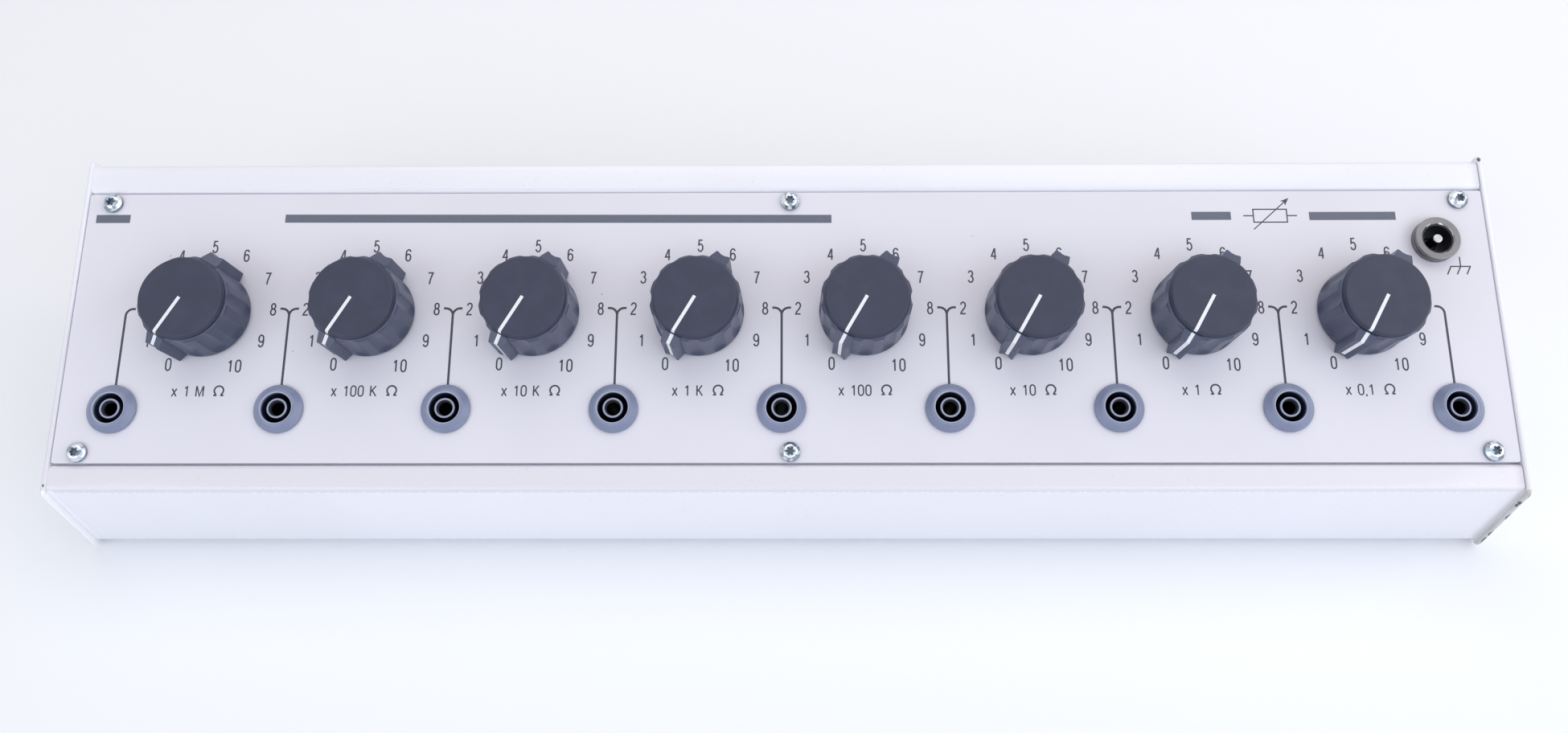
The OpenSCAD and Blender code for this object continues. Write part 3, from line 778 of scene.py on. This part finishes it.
def _glyphs() -> dict[str, Glyph]:
    """The narrow, even-stroked characters of the scales.

    Returns:
        Width and strokes of each character.
    """
    w = 0.434
    half = w / 2

    def strokes(*lines: Iterable[Pair]) -> tuple[tuple[Pair, ...], ...]:
        """Several pen strokes."""
        return tuple(tuple(line) for line in lines)

    zero = arc((half, 0.70), (half, 0.30), 0, 180, 12) + arc((half, 0.30), (half, 0.30), 180, 360, 12)
    six_bowl = arc((half, 0.30), (0.21, 0.30), 0, 345, 23)
    six_back = [(0.007, 0.30), (0.007, 0.62)] + arc((half, 0.70), (0.21, 0.30), 172, 22)
    nine_bowl = [(w - x, 1 - y) for x, y in six_bowl]
    nine_back = [(w - x, 1 - y) for x, y in six_back]
    ohm = arc((0.725, 0.56), (0.41, 0.44), -55, 235, 24)
    return {
        "0": Glyph(w, loops=strokes(zero)),
        "1": Glyph(w, strokes([(0.27, 0.0), (0.27, 1.0)],
                              [(0.06, 0.80), (0.14, 0.81), (0.20, 0.85), (0.235, 0.91), (0.25, 0.985)])),
        "2": Glyph(w, strokes(arc((half, 0.745), (0.205, 0.255), 172, -22) + [
            (0.33, 0.47), (0.19, 0.32), (0.07, 0.17), (0.005, 0.0), (w, 0.0)])),
        "3": Glyph(w, strokes(arc((0.205, 0.765), (0.185, 0.235), 165, -88),
                              arc((0.205, 0.27), (0.215, 0.27), 92, -165))),
        "4": Glyph(w, strokes([(0.32, 0.0), (0.32, 1.0)], [(0.29, 0.985), (0.0, 0.29), (w, 0.29)])),
        "5": Glyph(w, strokes([(0.39, 1.0), (0.085, 1.0), (0.045, 0.49)],
                              arc((0.205, 0.325), (0.215, 0.325), 146, -162))),
        "6": Glyph(w, strokes(six_back), strokes(six_bowl)),
        "7": Glyph(w, strokes([(0.0, 1.0), (w, 1.0), (0.31, 0.68), (0.21, 0.34), (0.16, 0.0)])),
        "8": Glyph(w, loops=strokes(arc((half, 0.765), (0.178, 0.235), 0, 345, 23),
                                    arc((half, 0.268), (0.215, 0.268), 0, 345, 23))),
        "9": Glyph(w, strokes(nine_back), strokes(nine_bowl)),
        "x": Glyph(0.40, strokes([(0.0, 0.0), (0.40, 0.76)], [(0.0, 0.76), (0.40, 0.0)])),
        "K": Glyph(0.48, strokes([(0.0, 0.0), (0.0, 1.0)], [(0.45, 1.0), (0.02, 0.40)],
                                 [(0.14, 0.56), (0.48, 0.0)])),
        "M": Glyph(0.62, strokes([(0.0, 0.0), (0.0, 1.0)], [(0.03, 0.98), (0.31, 0.04), (0.59, 0.98)],
                                 [(0.62, 1.0), (0.62, 0.0)])),
        ",": Glyph(0.05, strokes([(0.045, 0.06), (0.0, -0.16)])),
        " ": Glyph(0.22),
        "Ω": Glyph(1.18, strokes([(0.27, 0.095), (0.49, 0.095), (0.49, 0.14), ohm[-1]], ohm,
                                 [(1.18, 0.095), (0.96, 0.095), (0.96, 0.14), ohm[0]])),
    }


GLYPHS = _glyphs()


@dataclass(frozen=True)
class Lettering:
    """Size of a line of print: height and pen in millimetres, width and gap as shares."""

    height: float
    pen: float
    stretch: float
    gap: float


def skin(mesh: bmesh.types.BMesh, rows: Sequence[Sequence[Any]], closed: bool = False) -> None:
    """Join rows of four corners into a bar, with end faces unless it runs round in a ring.

    Args:
        mesh: the mesh that holds the corners.
        rows: sets of four corners, in order.
        closed: whether the last row joins the first.
    """
    pairs = list(zip(rows, rows[1:])) + ([(rows[-1], rows[0])] if closed else [])
    for one, two in pairs:
        for i in range(4):
            j = (i + 1) % 4
            mesh.faces.new((one[i], two[i], two[j], one[j]))
    if not closed:
        mesh.faces.new(rows[0])
        mesh.faces.new(rows[-1][::-1])


def new_object(name: str, mesh: bmesh.types.BMesh, material: bpy.types.Material) -> bpy.types.Object:
    """Turn a finished mesh into an object of the scene, with one material.

    Args:
        name: name of the object and of its mesh.
        mesh: the finished mesh, which is freed.
        material: its only material.

    Returns:
        The object.
    """
    data = bpy.data.meshes.new(name)
    mesh.to_mesh(data)
    mesh.free()
    data.materials.append(material)
    made = bpy.data.objects.new(name, data)
    bpy.context.scene.collection.objects.link(made)
    return made


@dataclass
class MarkSheet:
    """Printed marks on the panel, each a thin closed film just over the lacquer."""

    name: str
    film: float = 0.02
    lift: float = 0.0015
    sink: float = 0.01
    _mesh: bmesh.types.BMesh = field(default_factory=bmesh.new)
    _count: int = 0

    def _levels(self) -> Pair:
        """Bottom and top of the next film, each film a hair over the one before."""
        self._count += 1
        return -self.sink, self.film + self.lift * (self._count % 7)

    def _solid(self, left: Sequence[Pair], right: Sequence[Pair], closed: bool) -> None:
        """Close a film between the two edges of a stroke.

        Args:
            left: points of the stroke's left edge.
            right: points of its right edge.
            closed: whether the stroke runs round in a ring.
        """
        low, high = self._levels()
        rows = []
        for a, b in zip(left, right):
            section = ((a, high), (b, high), (b, low), (a, low))
            rows.append([self._mesh.verts.new((x, y, z)) for (x, y), z in section])
        skin(self._mesh, rows, closed)

    def stroke(self, points: Sequence[Pair], width: float, closed: bool = False) -> None:
        """Lay a pen stroke of even width with mitred bends.

        Args:
            points: path of the pen on the panel.
            width: width of the stroke.
            closed: whether the path returns to its start.
        """
        path = [Vector(p) for p in points]
        count = len(path)
        left, right = [], []
        for i, here in enumerate(path):
            before = path[i - 1] if i or closed else None
            after = path[(i + 1) % count] if i < count - 1 or closed else None
            into = (here - before).normalized() if before is not None else (after - here).normalized()
            out = (after - here).normalized() if after is not None else into
            side = Vector((-into.y - out.y, into.x + out.x)).normalized()
            reach = width / 2 / max(0.45, side.dot(Vector((-into.y, into.x))))
            left.append(tuple(here + side * reach))
            right.append(tuple(here - side * reach))
        self._solid(left, right, closed)

    def patch(self, outline: Sequence[Pair]) -> None:
        """Lay a filled patch, given counter-clockwise.

        Args:
            outline: corners of the patch, counter-clockwise.
        """
        low, high = self._levels()
        top = [self._mesh.verts.new((x, y, high)) for x, y in outline]
        bottom = [self._mesh.verts.new((x, y, low)) for x, y in outline]
        self._mesh.faces.new(top)
        self._mesh.faces.new(bottom[::-1])
        for i in range(len(top)):
            j = (i + 1) % len(top)
            self._mesh.faces.new((top[i], bottom[i], bottom[j], top[j]))

    def write(self, text: str, centre: Pair, face: "Lettering") -> None:
        """Write a line of characters.

        Args:
            text: the characters.
            centre: middle of the line on the panel.
            face: size and spacing of the characters.
        """
        size = face.height - face.pen
        wide = size * face.stretch
        total = sum(GLYPHS[c].width for c in text) + face.gap * (len(text) - 1)
        x = centre[0] - total * wide / 2
        y = centre[1] - size / 2
        for character in text:
            glyph = GLYPHS[character]
            pen = face.pen * (1.2 if character == "Ω" else 1.0)
            for closed, lines in ((False, glyph.strokes), (True, glyph.loops)):
                for line in lines:
                    self.stroke([(x + px * wide, y + py * size) for px, py in line], pen, closed)
            x += (glyph.width + face.gap) * wide

    def build(self, material: bpy.types.Material) -> None:
        """Make the marks one piece of the panel.

        Args:
            material: the ink's material.
        """
        bmesh.ops.recalc_face_normals(self._mesh, faces=self._mesh.faces)
        piece = new_object(self.name, self._mesh, material)
        piece.data.transform(PANEL.matrix())
        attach(piece, "case")
        log.info("piece %s: %d faces", self.name, len(piece.data.polygons))


# Sub-assemblies


def dress(nodes: Iterable[str], material: bpy.types.Material) -> None:
    """Give CAD nodes a material.

    Args:
        nodes: names of the nodes.
        material: the material that takes the place of theirs.
    """
    for name in nodes:
        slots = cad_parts[name].data.materials
        slots.clear()
        slots.append(material)
        log.info("node %s: %s", name, material.name)


@dataclass(frozen=True)
class CoatedSheet:
    """A sheet-metal node as it is after coating, with its sharp edges rounded."""

    node: str
    radius: float
    slot: str = "case_white"
    steps: int = 4
    end_x: float = 0.0

    def _sharp(self, edge: Any, centre: Vector) -> bool:
        """Whether an edge is to be rounded: sharp, outside, and near the ends where these are given.

        Args:
            edge: an edge of the sheet's mesh.
            centre: middle of the sheet's box, at x 0.

        Returns:
            Whether the edge is rounded.
        """
        if len(edge.link_faces) != 2 or edge.calc_face_angle() < math.radians(35):
            return False
        middle = (edge.verts[0].co + edge.verts[1].co) / 2
        if self.end_x and abs(middle.x) < self.end_x * MM:
            return False
        outward = [face for face in edge.link_faces
                   if abs(face.normal.x) < 0.5 and face.normal.dot(middle - centre) > 0]
        return bool(outward) or not self.end_x

    def build(self, material: bpy.types.Material) -> None:
        """Build the rounded sheet and let it stand for the node.

        Args:
            material: the coat's material.
        """
        mesh = bmesh.new()
        mesh.from_mesh(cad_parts[self.node].data)
        bmesh.ops.remove_doubles(mesh, verts=mesh.verts, dist=1e-7)
        bmesh.ops.dissolve_limit(mesh, angle_limit=math.radians(0.4), verts=mesh.verts, edges=mesh.edges)
        low, high = (Vector(corner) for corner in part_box(self.node))
        centre = Vector((0.0, (low.y + high.y) / 2, (low.z + high.z) / 2))
        edges = [edge for edge in mesh.edges if self._sharp(edge, centre)]
        bmesh.ops.bevel(mesh, geom=edges, offset=self.radius * MM, offset_type="OFFSET", segments=self.steps,
                        profile=0.5, affect="EDGES", clamp_overlap=True)
        piece = new_object(f"{self.node}_coated", mesh, material)
        piece.data.shade_smooth()
        piece.data.set_sharp_from_angle(angle=math.radians(32))
        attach(piece, "case")
        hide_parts(self.node)
        log.info("piece %s: %d faces, %d edges rounded", piece.name, len(piece.data.polygons), len(edges))


@dataclass
class Housing:
    """Folded case, end plates, feet and the screws that hold the panel."""

    wrap_end: float = 210.0
    plate_front: float = -47.6
    right_chips: tuple[tuple[float, float, float, float], ...] = (
        (210.3, -48.9, 28.6, 0.42), (210.15, -48.9, 27.0, 0.34), (211.15, -48.8, 20.4, 0.85),
        (211.1, -48.8, 9.6, 0.8), (211.15, -48.8, 5.6, 0.95), (211.2, -48.6, 32.4, 0.5),
        (210.5, 46.8, 69.1, 0.55))
    left_chips: tuple[tuple[float, float, float, float], ...] = ((-210.6, -46.3, 35.0, 0.3),)

    def chips(self, spots: Iterable[tuple[float, float, float, float]]) -> tuple[Chip, ...]:
        """Turn places and radii in millimetres into chips."""
        return tuple(Chip(Vector((x, y, z)) * MM, r) for x, y, z, r in spots)

    def dress_all(self) -> None:
        """Round and dress the sheet metal, and dress the feet and screws."""
        CoatedSheet("case_wrap", 0.7, end_x=self.wrap_end - 2.0).build(
            PowderCoat("case_powder_coat", joint_x=self.wrap_end).make())
        CoatedSheet("left_end_plate", 0.55).build(
            PowderCoat("left_powder_coat", chips=self.chips(self.left_chips), band_y=self.plate_front,
                       band=(0.95, 0.985, 1.0), band_cover=0.5, edge_x=211.3).make())
        CoatedSheet("right_end_plate", 0.55).build(
            PowderCoat("right_powder_coat", chips=self.chips(self.right_chips),
                       band_y=self.plate_front).make())
        dress(["front_panel"], PanelLacquer().make())
        dress(["panel_screws", "mounting_nuts"], ZincPlate().make())
        dress(["rubber_feet"], Rubber().make())


class Multiplier(Enum):
    """What the figures of each dial are multiplied by."""

    FIRST = "x 1 M Ω"
    SECOND = "x 100 K Ω"
    THIRD = "x 10 K Ω"
    FOURTH = "x 1 K Ω"
    FIFTH = "x 100 Ω"
    SIXTH = "x 10 Ω"
    SEVENTH = "x 1 Ω"
    EIGHTH = "x 0,1 Ω"


@dataclass
class PanelPrint:
    """Scales, multipliers, bars, link lines and symbols printed on the panel, in millimetres."""

    ring: float = 19.4
    first_angle: float = -150.0
    step_angle: float = 30.0
    figure: Lettering = Lettering(3.97, 0.45, 0.92, 0.30)
    nudges: dict[int, float] = field(default_factory=lambda: {5: 0.2, 7: -0.2, 10: -0.5})
    multiplier: Lettering = Lettering(3.46, 0.40, 1.067, 0.225)
    multiplier_y: float = 29.15
    bar_height: float = 2.6
    bar_y: float = 82.65
    bars: tuple[Pair, ...] = ((-207.05, -196.7), (-149.7, 14.9), (122.6, 134.4), (157.7, 183.4))
    tilts: tuple[Pair, ...] = ((0.0, 0.0), (-0.05, -0.62), (0.0, 0.0), (-0.15, -0.15))
    link_pen: float = 0.68
    link_foot: float = 30.2
    link_top: float = 54.2
    link_bend: float = 2.125
    arm: float = 2.75
    symbol_pen: float = 0.38
    resistor_at: Pair = (146.1, 82.65)
    resistor_half: Pair = (5.0, 2.05)
    chassis_at: Pair = (200.6, 66.5)

    def scales(self, ink: bpy.types.Material) -> None:
        """Print the figures 0 to 10 round each dial and its multiplier under it.

        Args:
            ink: the ink's material.
        """
        for number, multiplier in enumerate(Multiplier, start=1):
            sheet = MarkSheet(f"dial_{number}_scale")
            x = PANEL.dial_x(number)
            for figure in range(11):
                angle = math.radians(self.first_angle + self.step_angle * figure)
                place = (x + self.ring * math.sin(angle), PANEL.scale_y + self.ring * math.cos(angle))
                sheet.write(str(figure), (place[0], place[1] + self.nudges.get(figure, 0.0)), self.figure)
            sheet.write(multiplier.value, (x, self.multiplier_y), self.multiplier)
            sheet.build(ink)

    def links(self, ink: bpy.types.Material) -> None:
        """Print the line from each socket to the dials beside it.

        Args:
            ink: the ink's material.
        """
        sheet = MarkSheet("link_lines")
        turn_y = self.link_top - self.link_bend
        for number in range(1, PANEL.dials + 2):
            x = PANEL.socket_x(number)
            sides = [side for side in (-1, 1) if 1 <= number + (side - 1) // 2 <= PANEL.dials]
            sheet.stroke([(x, self.link_foot), (x, turn_y)], self.link_pen)
            for side in sides:
                bend = arc((x + side * self.link_bend, turn_y), (self.link_bend, self.link_bend),
                           180 if side > 0 else 0, 90, 8)
                sheet.stroke(bend + [(x + side * self.arm, self.link_top)], self.link_pen)
        sheet.build(ink)

    def bars_piece(self, ink: bpy.types.Material) -> None:
        """Print the header bars.

        Args:
            ink: the ink's material.
        """
        sheet = MarkSheet("header_bars")
        low, high = self.bar_y - self.bar_height / 2, self.bar_y + self.bar_height / 2
        for (start, end), (first, last) in zip(self.bars, self.tilts):
            sheet.patch([(start, low + first), (end, low + last), (end, high + last), (start, high + first)])
        sheet.build(ink)

    def resistor_symbol(self, ink: bpy.types.Material) -> None:
        """Print the variable resistor: a box with two leads and a slanting arrow.

        Args:
            ink: the ink's material.
        """
        sheet = MarkSheet("resistor_symbol")
        x, y = self.resistor_at
        wide, tall = self.resistor_half
        corners = [(x + wide * i, y + tall * j) for i, j in ((-1, -1), (1, -1), (1, 1), (-1, 1))]
        sheet.stroke(corners, self.symbol_pen, closed=True)
        for lead in ((-8.0, -5.15), (5.15, 8.0)):
            sheet.stroke([(x + end, y) for end in lead], self.symbol_pen)
        tail, tip = Vector((x - 5.2, y - 4.35)), Vector((x + 6.0, y + 5.65))
        along = (tip - tail).normalized()
        across = Vector((-along.y, along.x))
        sheet.stroke([tuple(tail), tuple(tip - along * 1.6)], self.symbol_pen * 0.85)
        sheet.patch([tuple(tip), tuple(tip - along * 2.6 + across), tuple(tip - along * 1.9),
                     tuple(tip - along * 2.6 - across)])
        sheet.build(ink)

    def chassis_symbol(self, ink: bpy.types.Material) -> None:
        """Print the chassis sign: a stem, a bar and three slanting feet.

        Args:
            ink: the ink's material.
        """
        sheet = MarkSheet("chassis_symbol")
        x, y = self.chassis_at
        sheet.stroke([(x, y + 3.0), (x, y)], self.symbol_pen)
        sheet.stroke([(x - 3.0, y), (x + 3.0, y)], self.symbol_pen)
        for foot in (-2.85, 0.0, 2.85):
            sheet.stroke([(x + foot, y), (x + foot - 1.3, y - 2.5)], self.symbol_pen)
        sheet.build(ink)

    def build(self) -> None:
        """Print the marks in dark grey ink and the header bars in a lighter one."""
        ink = PrintInk("grey_ink", (0.048, 0.05, 0.066)).make()
        bar_ink = PrintInk("bar_ink", (0.118, 0.131, 0.175)).make()
        self.scales(ink)
        self.links(ink)
        self.bars_piece(bar_ink)
        self.resistor_symbol(ink)
        self.chassis_symbol(ink)


@dataclass
class Dials:
    """Knobs, caps, their white pointer lines, and the switches under them."""

    cap_line: float = 0.95
    ear_line: float = 1.05
    cap_face: float = 17.2
    cap_foot: float = 15.8
    cap_foot_r: float = 12.3
    cap_flare: float = 0.6
    cap_round: float = 0.55
    shoulder: float = 15.5
    ear_top_r: float = 12.5
    groove_r: float = 15.1
    groove_top: float = 14.07
    line_foot: float = 1.7
    film: float = 0.035
    pointer_angle: float = 240.0

    def _strip(self, name: str, number: int, profile: Sequence[Pair], width: float,
               paint: bpy.types.Material) -> None:
        """Lay a white strip over a profile of radius and height, on the side of the pointer.

        Args:
            name: name of the piece.
            number: number of the dial.
            profile: radius and height of each point in millimetres.
            width: width of the strip in millimetres.
            paint: the strip's material.
        """
        angle = math.radians(self.pointer_angle)
        along = Vector((math.cos(angle), math.sin(angle), 0.0))
        across = Vector((-along.y, along.x, 0.0))
        centre = Vector((PANEL.dial_x(number), PANEL.dial_y, 0.0))
        mesh = bmesh.new()
        rows = []
        for i, (r, z) in enumerate(profile):
            ahead = Vector(profile[min(i + 1, len(profile) - 1)]) - Vector(profile[max(i - 1, 0)])
            off = Vector((-ahead.y, ahead.x)).normalized()
            if off.y < 0 or (abs(off.y) < 1e-6 and off.x < 0):
                off = -off
            outer, inner = Vector((r, z)) + off * self.film, Vector((r, z)) - off * self.film
            corners = []
            for (pr, pz), side in ((outer, 1), (outer, -1), (inner, -1), (inner, 1)):
                corner = centre + along * pr + across * side * width / 2 + AXIS_Z * pz
                corners.append(mesh.verts.new(corner))
            rows.append(corners)
        skin(mesh, rows)
        bmesh.ops.recalc_face_normals(mesh, faces=mesh.faces)
        piece = new_object(name, mesh, paint)
        piece.data.transform(PANEL.matrix())
        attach(piece, f"dial_{number}")
        log.info("piece %s", name)

    def pointers(self) -> None:
        """Lay the white line over each cap and down the front ear."""
        paint = PrintInk("white_line", (0.83, 0.85, 0.90)).make()
        rim = Vector((self.cap_flare, self.cap_foot - self.cap_face))
        fall = math.atan2(-rim.y, rim.x)
        face_r = self.cap_foot_r - self.cap_flare - self.cap_round * math.tan(fall / 2)
        bend = [(face_r + self.cap_round * math.sin(fall * i / 4),
                 self.cap_face - self.cap_round + self.cap_round * math.cos(fall * i / 4)) for i in range(5)]
        low = Vector(bend[-1]) + rim.normalized() * 0.6
        on_cap = [(0.0, self.cap_face), (5.0, self.cap_face)] + bend + [tuple(low)]
        on_ear = [(self.ear_top_r - 0.1, self.shoulder), (self.ear_top_r, self.shoulder),
                  (self.groove_r, self.groove_top), (self.groove_r, 8.0), (self.groove_r, self.line_foot)]
        for number in range(1, PANEL.dials + 1):
            self._strip(f"cap_line_{number}", number, on_cap, self.cap_line, paint)
            self._strip(f"ear_line_{number}", number, on_ear, self.ear_line, paint)

    def build(self) -> None:
        """Dress knobs, caps and switches, and lay the pointer lines."""
        numbers = range(1, PANEL.dials + 1)
        knob = MouldedPlastic("knob_plastic", (0.036, 0.045, 0.090), rough=0.44, grain_mm=0.012, coat=0.42)
        cap = MouldedPlastic("cap_plastic", (0.026, 0.030, 0.060), rough=0.5, grain_mm=0.01)
        dress([f"knob_{n}" for n in numbers], knob.make())
        dress([f"knob_cap_{n}" for n in numbers], cap.make())
        dress([f"switch_body_{n}" for n in numbers], Phenolic().make())
        steel = DrawnMetal("shaft_steel", (0.56, 0.56, 0.57), (0.34, 0.32, 0.29)).make()
        dress([f"switch_rotor_{n}" for n in numbers], steel)
        for n in numbers:
            centre = PANEL.point(PANEL.dial_x(n), PANEL.dial_y)
            dress([f"resistor_ring_{n}"], ResistorLacquer(f"resistors_{n}", centre).make())
        self.pointers()


@dataclass
class Terminals:
    """Safety sockets, their contacts and wires, and the earth terminal."""

    def build(self) -> None:
        """Dress the sockets and the earth terminal."""
        plastic = MouldedPlastic("socket_plastic", (0.215, 0.25, 0.375), rough=0.3, grain_mm=0.006, dust=0.04,
                                 sockets=True)
        dress([f"socket_{n}" for n in range(1, PANEL.dials + 2)], plastic.make())
        nickel = DrawnMetal("contact_nickel", (0.50, 0.50, 0.51), (0.24, 0.23, 0.21), 0.26,
                            dark_span=(-22.0, 1.6))
        dress(["contacts"], nickel.make())
        centre = PANEL.point(*PANEL.earth)
        ring = TurnedMetal("turned_nickel", (0.215, 0.208, 0.215), centre, PANEL.normal(), bright_within=4.88)
        dress(["earth_shell"], ring.make())
        black = MouldedPlastic("well_plastic", (0.012, 0.012, 0.016), rough=0.34, grain_mm=0.004, dust=0.03)
        dress(["earth_insulator"], black.make())
        wire = MouldedPlastic("wire_sleeve", (0.42, 0.025, 0.02), rough=0.3, grain_mm=0.004, dust=0.03)
        dress(["link_wires"], wire.make())


# Stage


@dataclass(frozen=True)
class Softbox:
    """A large soft lamp aimed at the panel."""

    name: str
    place: tuple[float, float, float]
    size: Pair
    watts: float
    colour: Colour = (1.0, 1.0, 1.0)
    target: tuple[float, float, float] = (0.0, 0.0, 0.04)

    def build(self) -> None:
        """Hang the lamp."""
        lamp = bpy.data.lights.new(self.name, "AREA")
        lamp.shape = "RECTANGLE"
        lamp.size, lamp.size_y = self.size
        lamp.energy = self.watts
        lamp.color = self.colour
        holder = bpy.data.objects.new(self.name, lamp)
        holder.location = self.place
        aim = Vector(self.target) - Vector(self.place)
        holder.rotation_euler = aim.to_track_quat("-Z", "Y").to_euler()
        bpy.context.scene.collection.objects.link(holder)


@dataclass
class Studio:
    """Camera, pale floor, lamps and surroundings."""

    camera_place: tuple[float, float, float] = (0.004188, -0.21373, 0.339207)
    camera_turn: tuple[float, float, float] = (34.3818, 0.519, 0.2398)
    lens: float = 27.999
    sensor: float = 36.0
    floor_half: float = 1.4
    floor_colour: Colour = (0.94, 0.965, 1.0)
    fill_colour: Colour = (1.0, 0.96, 0.97)
    fill: float = 0.46
    seen_colour: Colour = (0.93, 0.95, 1.0)
    softboxes: tuple[Softbox, ...] = (
        Softbox("front_softbox", (0.1, -1.1, 0.9), (1.4, 0.8), 2.2, (0.82, 0.90, 1.0)),
        Softbox("front_right_softbox", (0.9, -0.8, 0.8), (1.0, 0.8), 4.2, (0.80, 0.88, 1.0)),
        Softbox("front_left_softbox", (-0.9, -0.8, 0.8), (1.0, 0.8), 4.2, (0.84, 0.92, 1.0)),
        Softbox("right_softbox", (1.2, 0.0, 0.7), (0.8, 0.8), 3.3, (1.0, 0.98, 0.96)),
        Softbox("rear_softbox", (0.1, 0.5, 1.1), (1.6, 0.8), 4.8, (1.0, 0.97, 0.95)),
    )

    def place_camera(self) -> None:
        """Set the camera at the photograph's viewing angle."""
        data = bpy.data.cameras.new("camera")
        data.sensor_width = self.sensor
        data.sensor_fit = "HORIZONTAL"
        data.lens = self.lens
        data.clip_start = 0.01
        camera = bpy.data.objects.new("camera", data)
        camera.location = self.camera_place
        camera.rotation_euler = Euler([math.radians(a) for a in self.camera_turn], "XYZ")
        bpy.context.scene.collection.objects.link(camera)
        bpy.context.scene.camera = camera

    def lay_floor(self) -> None:
        """Lay the pale floor, which keeps the shadow."""
        mesh = bmesh.new()
        bmesh.ops.create_grid(mesh, x_segments=8, y_segments=8, size=self.floor_half)
        tree = Tree("floor_paper")
        tree.bump(tree.noise(240, 2.0), 0.05)
        tree.set(Base_Color=self.floor_colour, Roughness=0.9)
        floor = new_object("floor", mesh, tree.material)

    def surround(self) -> None:
        """Set the world: a plain fill, and a pale background for the camera and reflections."""
        world = bpy.data.worlds.new("surroundings")
        bpy.context.scene.world = world
        sheet = Sheet(world)
        sheet.nodes.clear()
        fill = sheet.add("ShaderNodeBackground", {}, {"Color": self.fill_colour, "Strength": self.fill})
        seen = sheet.add("ShaderNodeBackground", {}, {"Color": self.seen_colour, "Strength": 1.0})
        path = sheet.node("ShaderNodeLightPath", {}, {})
        camera, glossy, through = (Signal(sheet, path.outputs[f"Is {kind} Ray"])
                                   for kind in ("Camera", "Glossy", "Transmission"))
        share = camera.greatest(glossy).greatest(through)
        mixed = sheet.add("ShaderNodeMixShader", {}, {0: share, 1: fill, 2: seen})
        sheet.node("ShaderNodeOutputWorld", {}, {"Surface": mixed})

    def build(self) -> None:
        """Set the whole stage."""
        self.place_camera()
        self.lay_floor()
        self.surround()
        for softbox in self.softboxes:
            softbox.build()
        bpy.context.scene.view_settings.view_transform = "Standard"


def corners(bounds: Any) -> list[list[float]]:
    """The lowest and highest corner as plain lists."""
    return [[float(v) for v in corner] for corner in bounds]


def main() -> None:
    """Dress the part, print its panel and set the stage."""
    logging.basicConfig(level=logging.INFO, format="%(message)s")
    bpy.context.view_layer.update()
    Studio().build()
    Housing().dress_all()
    Dials().build()
    Terminals().build()
    PanelPrint().build()


if __name__ == "__main__":
    main()
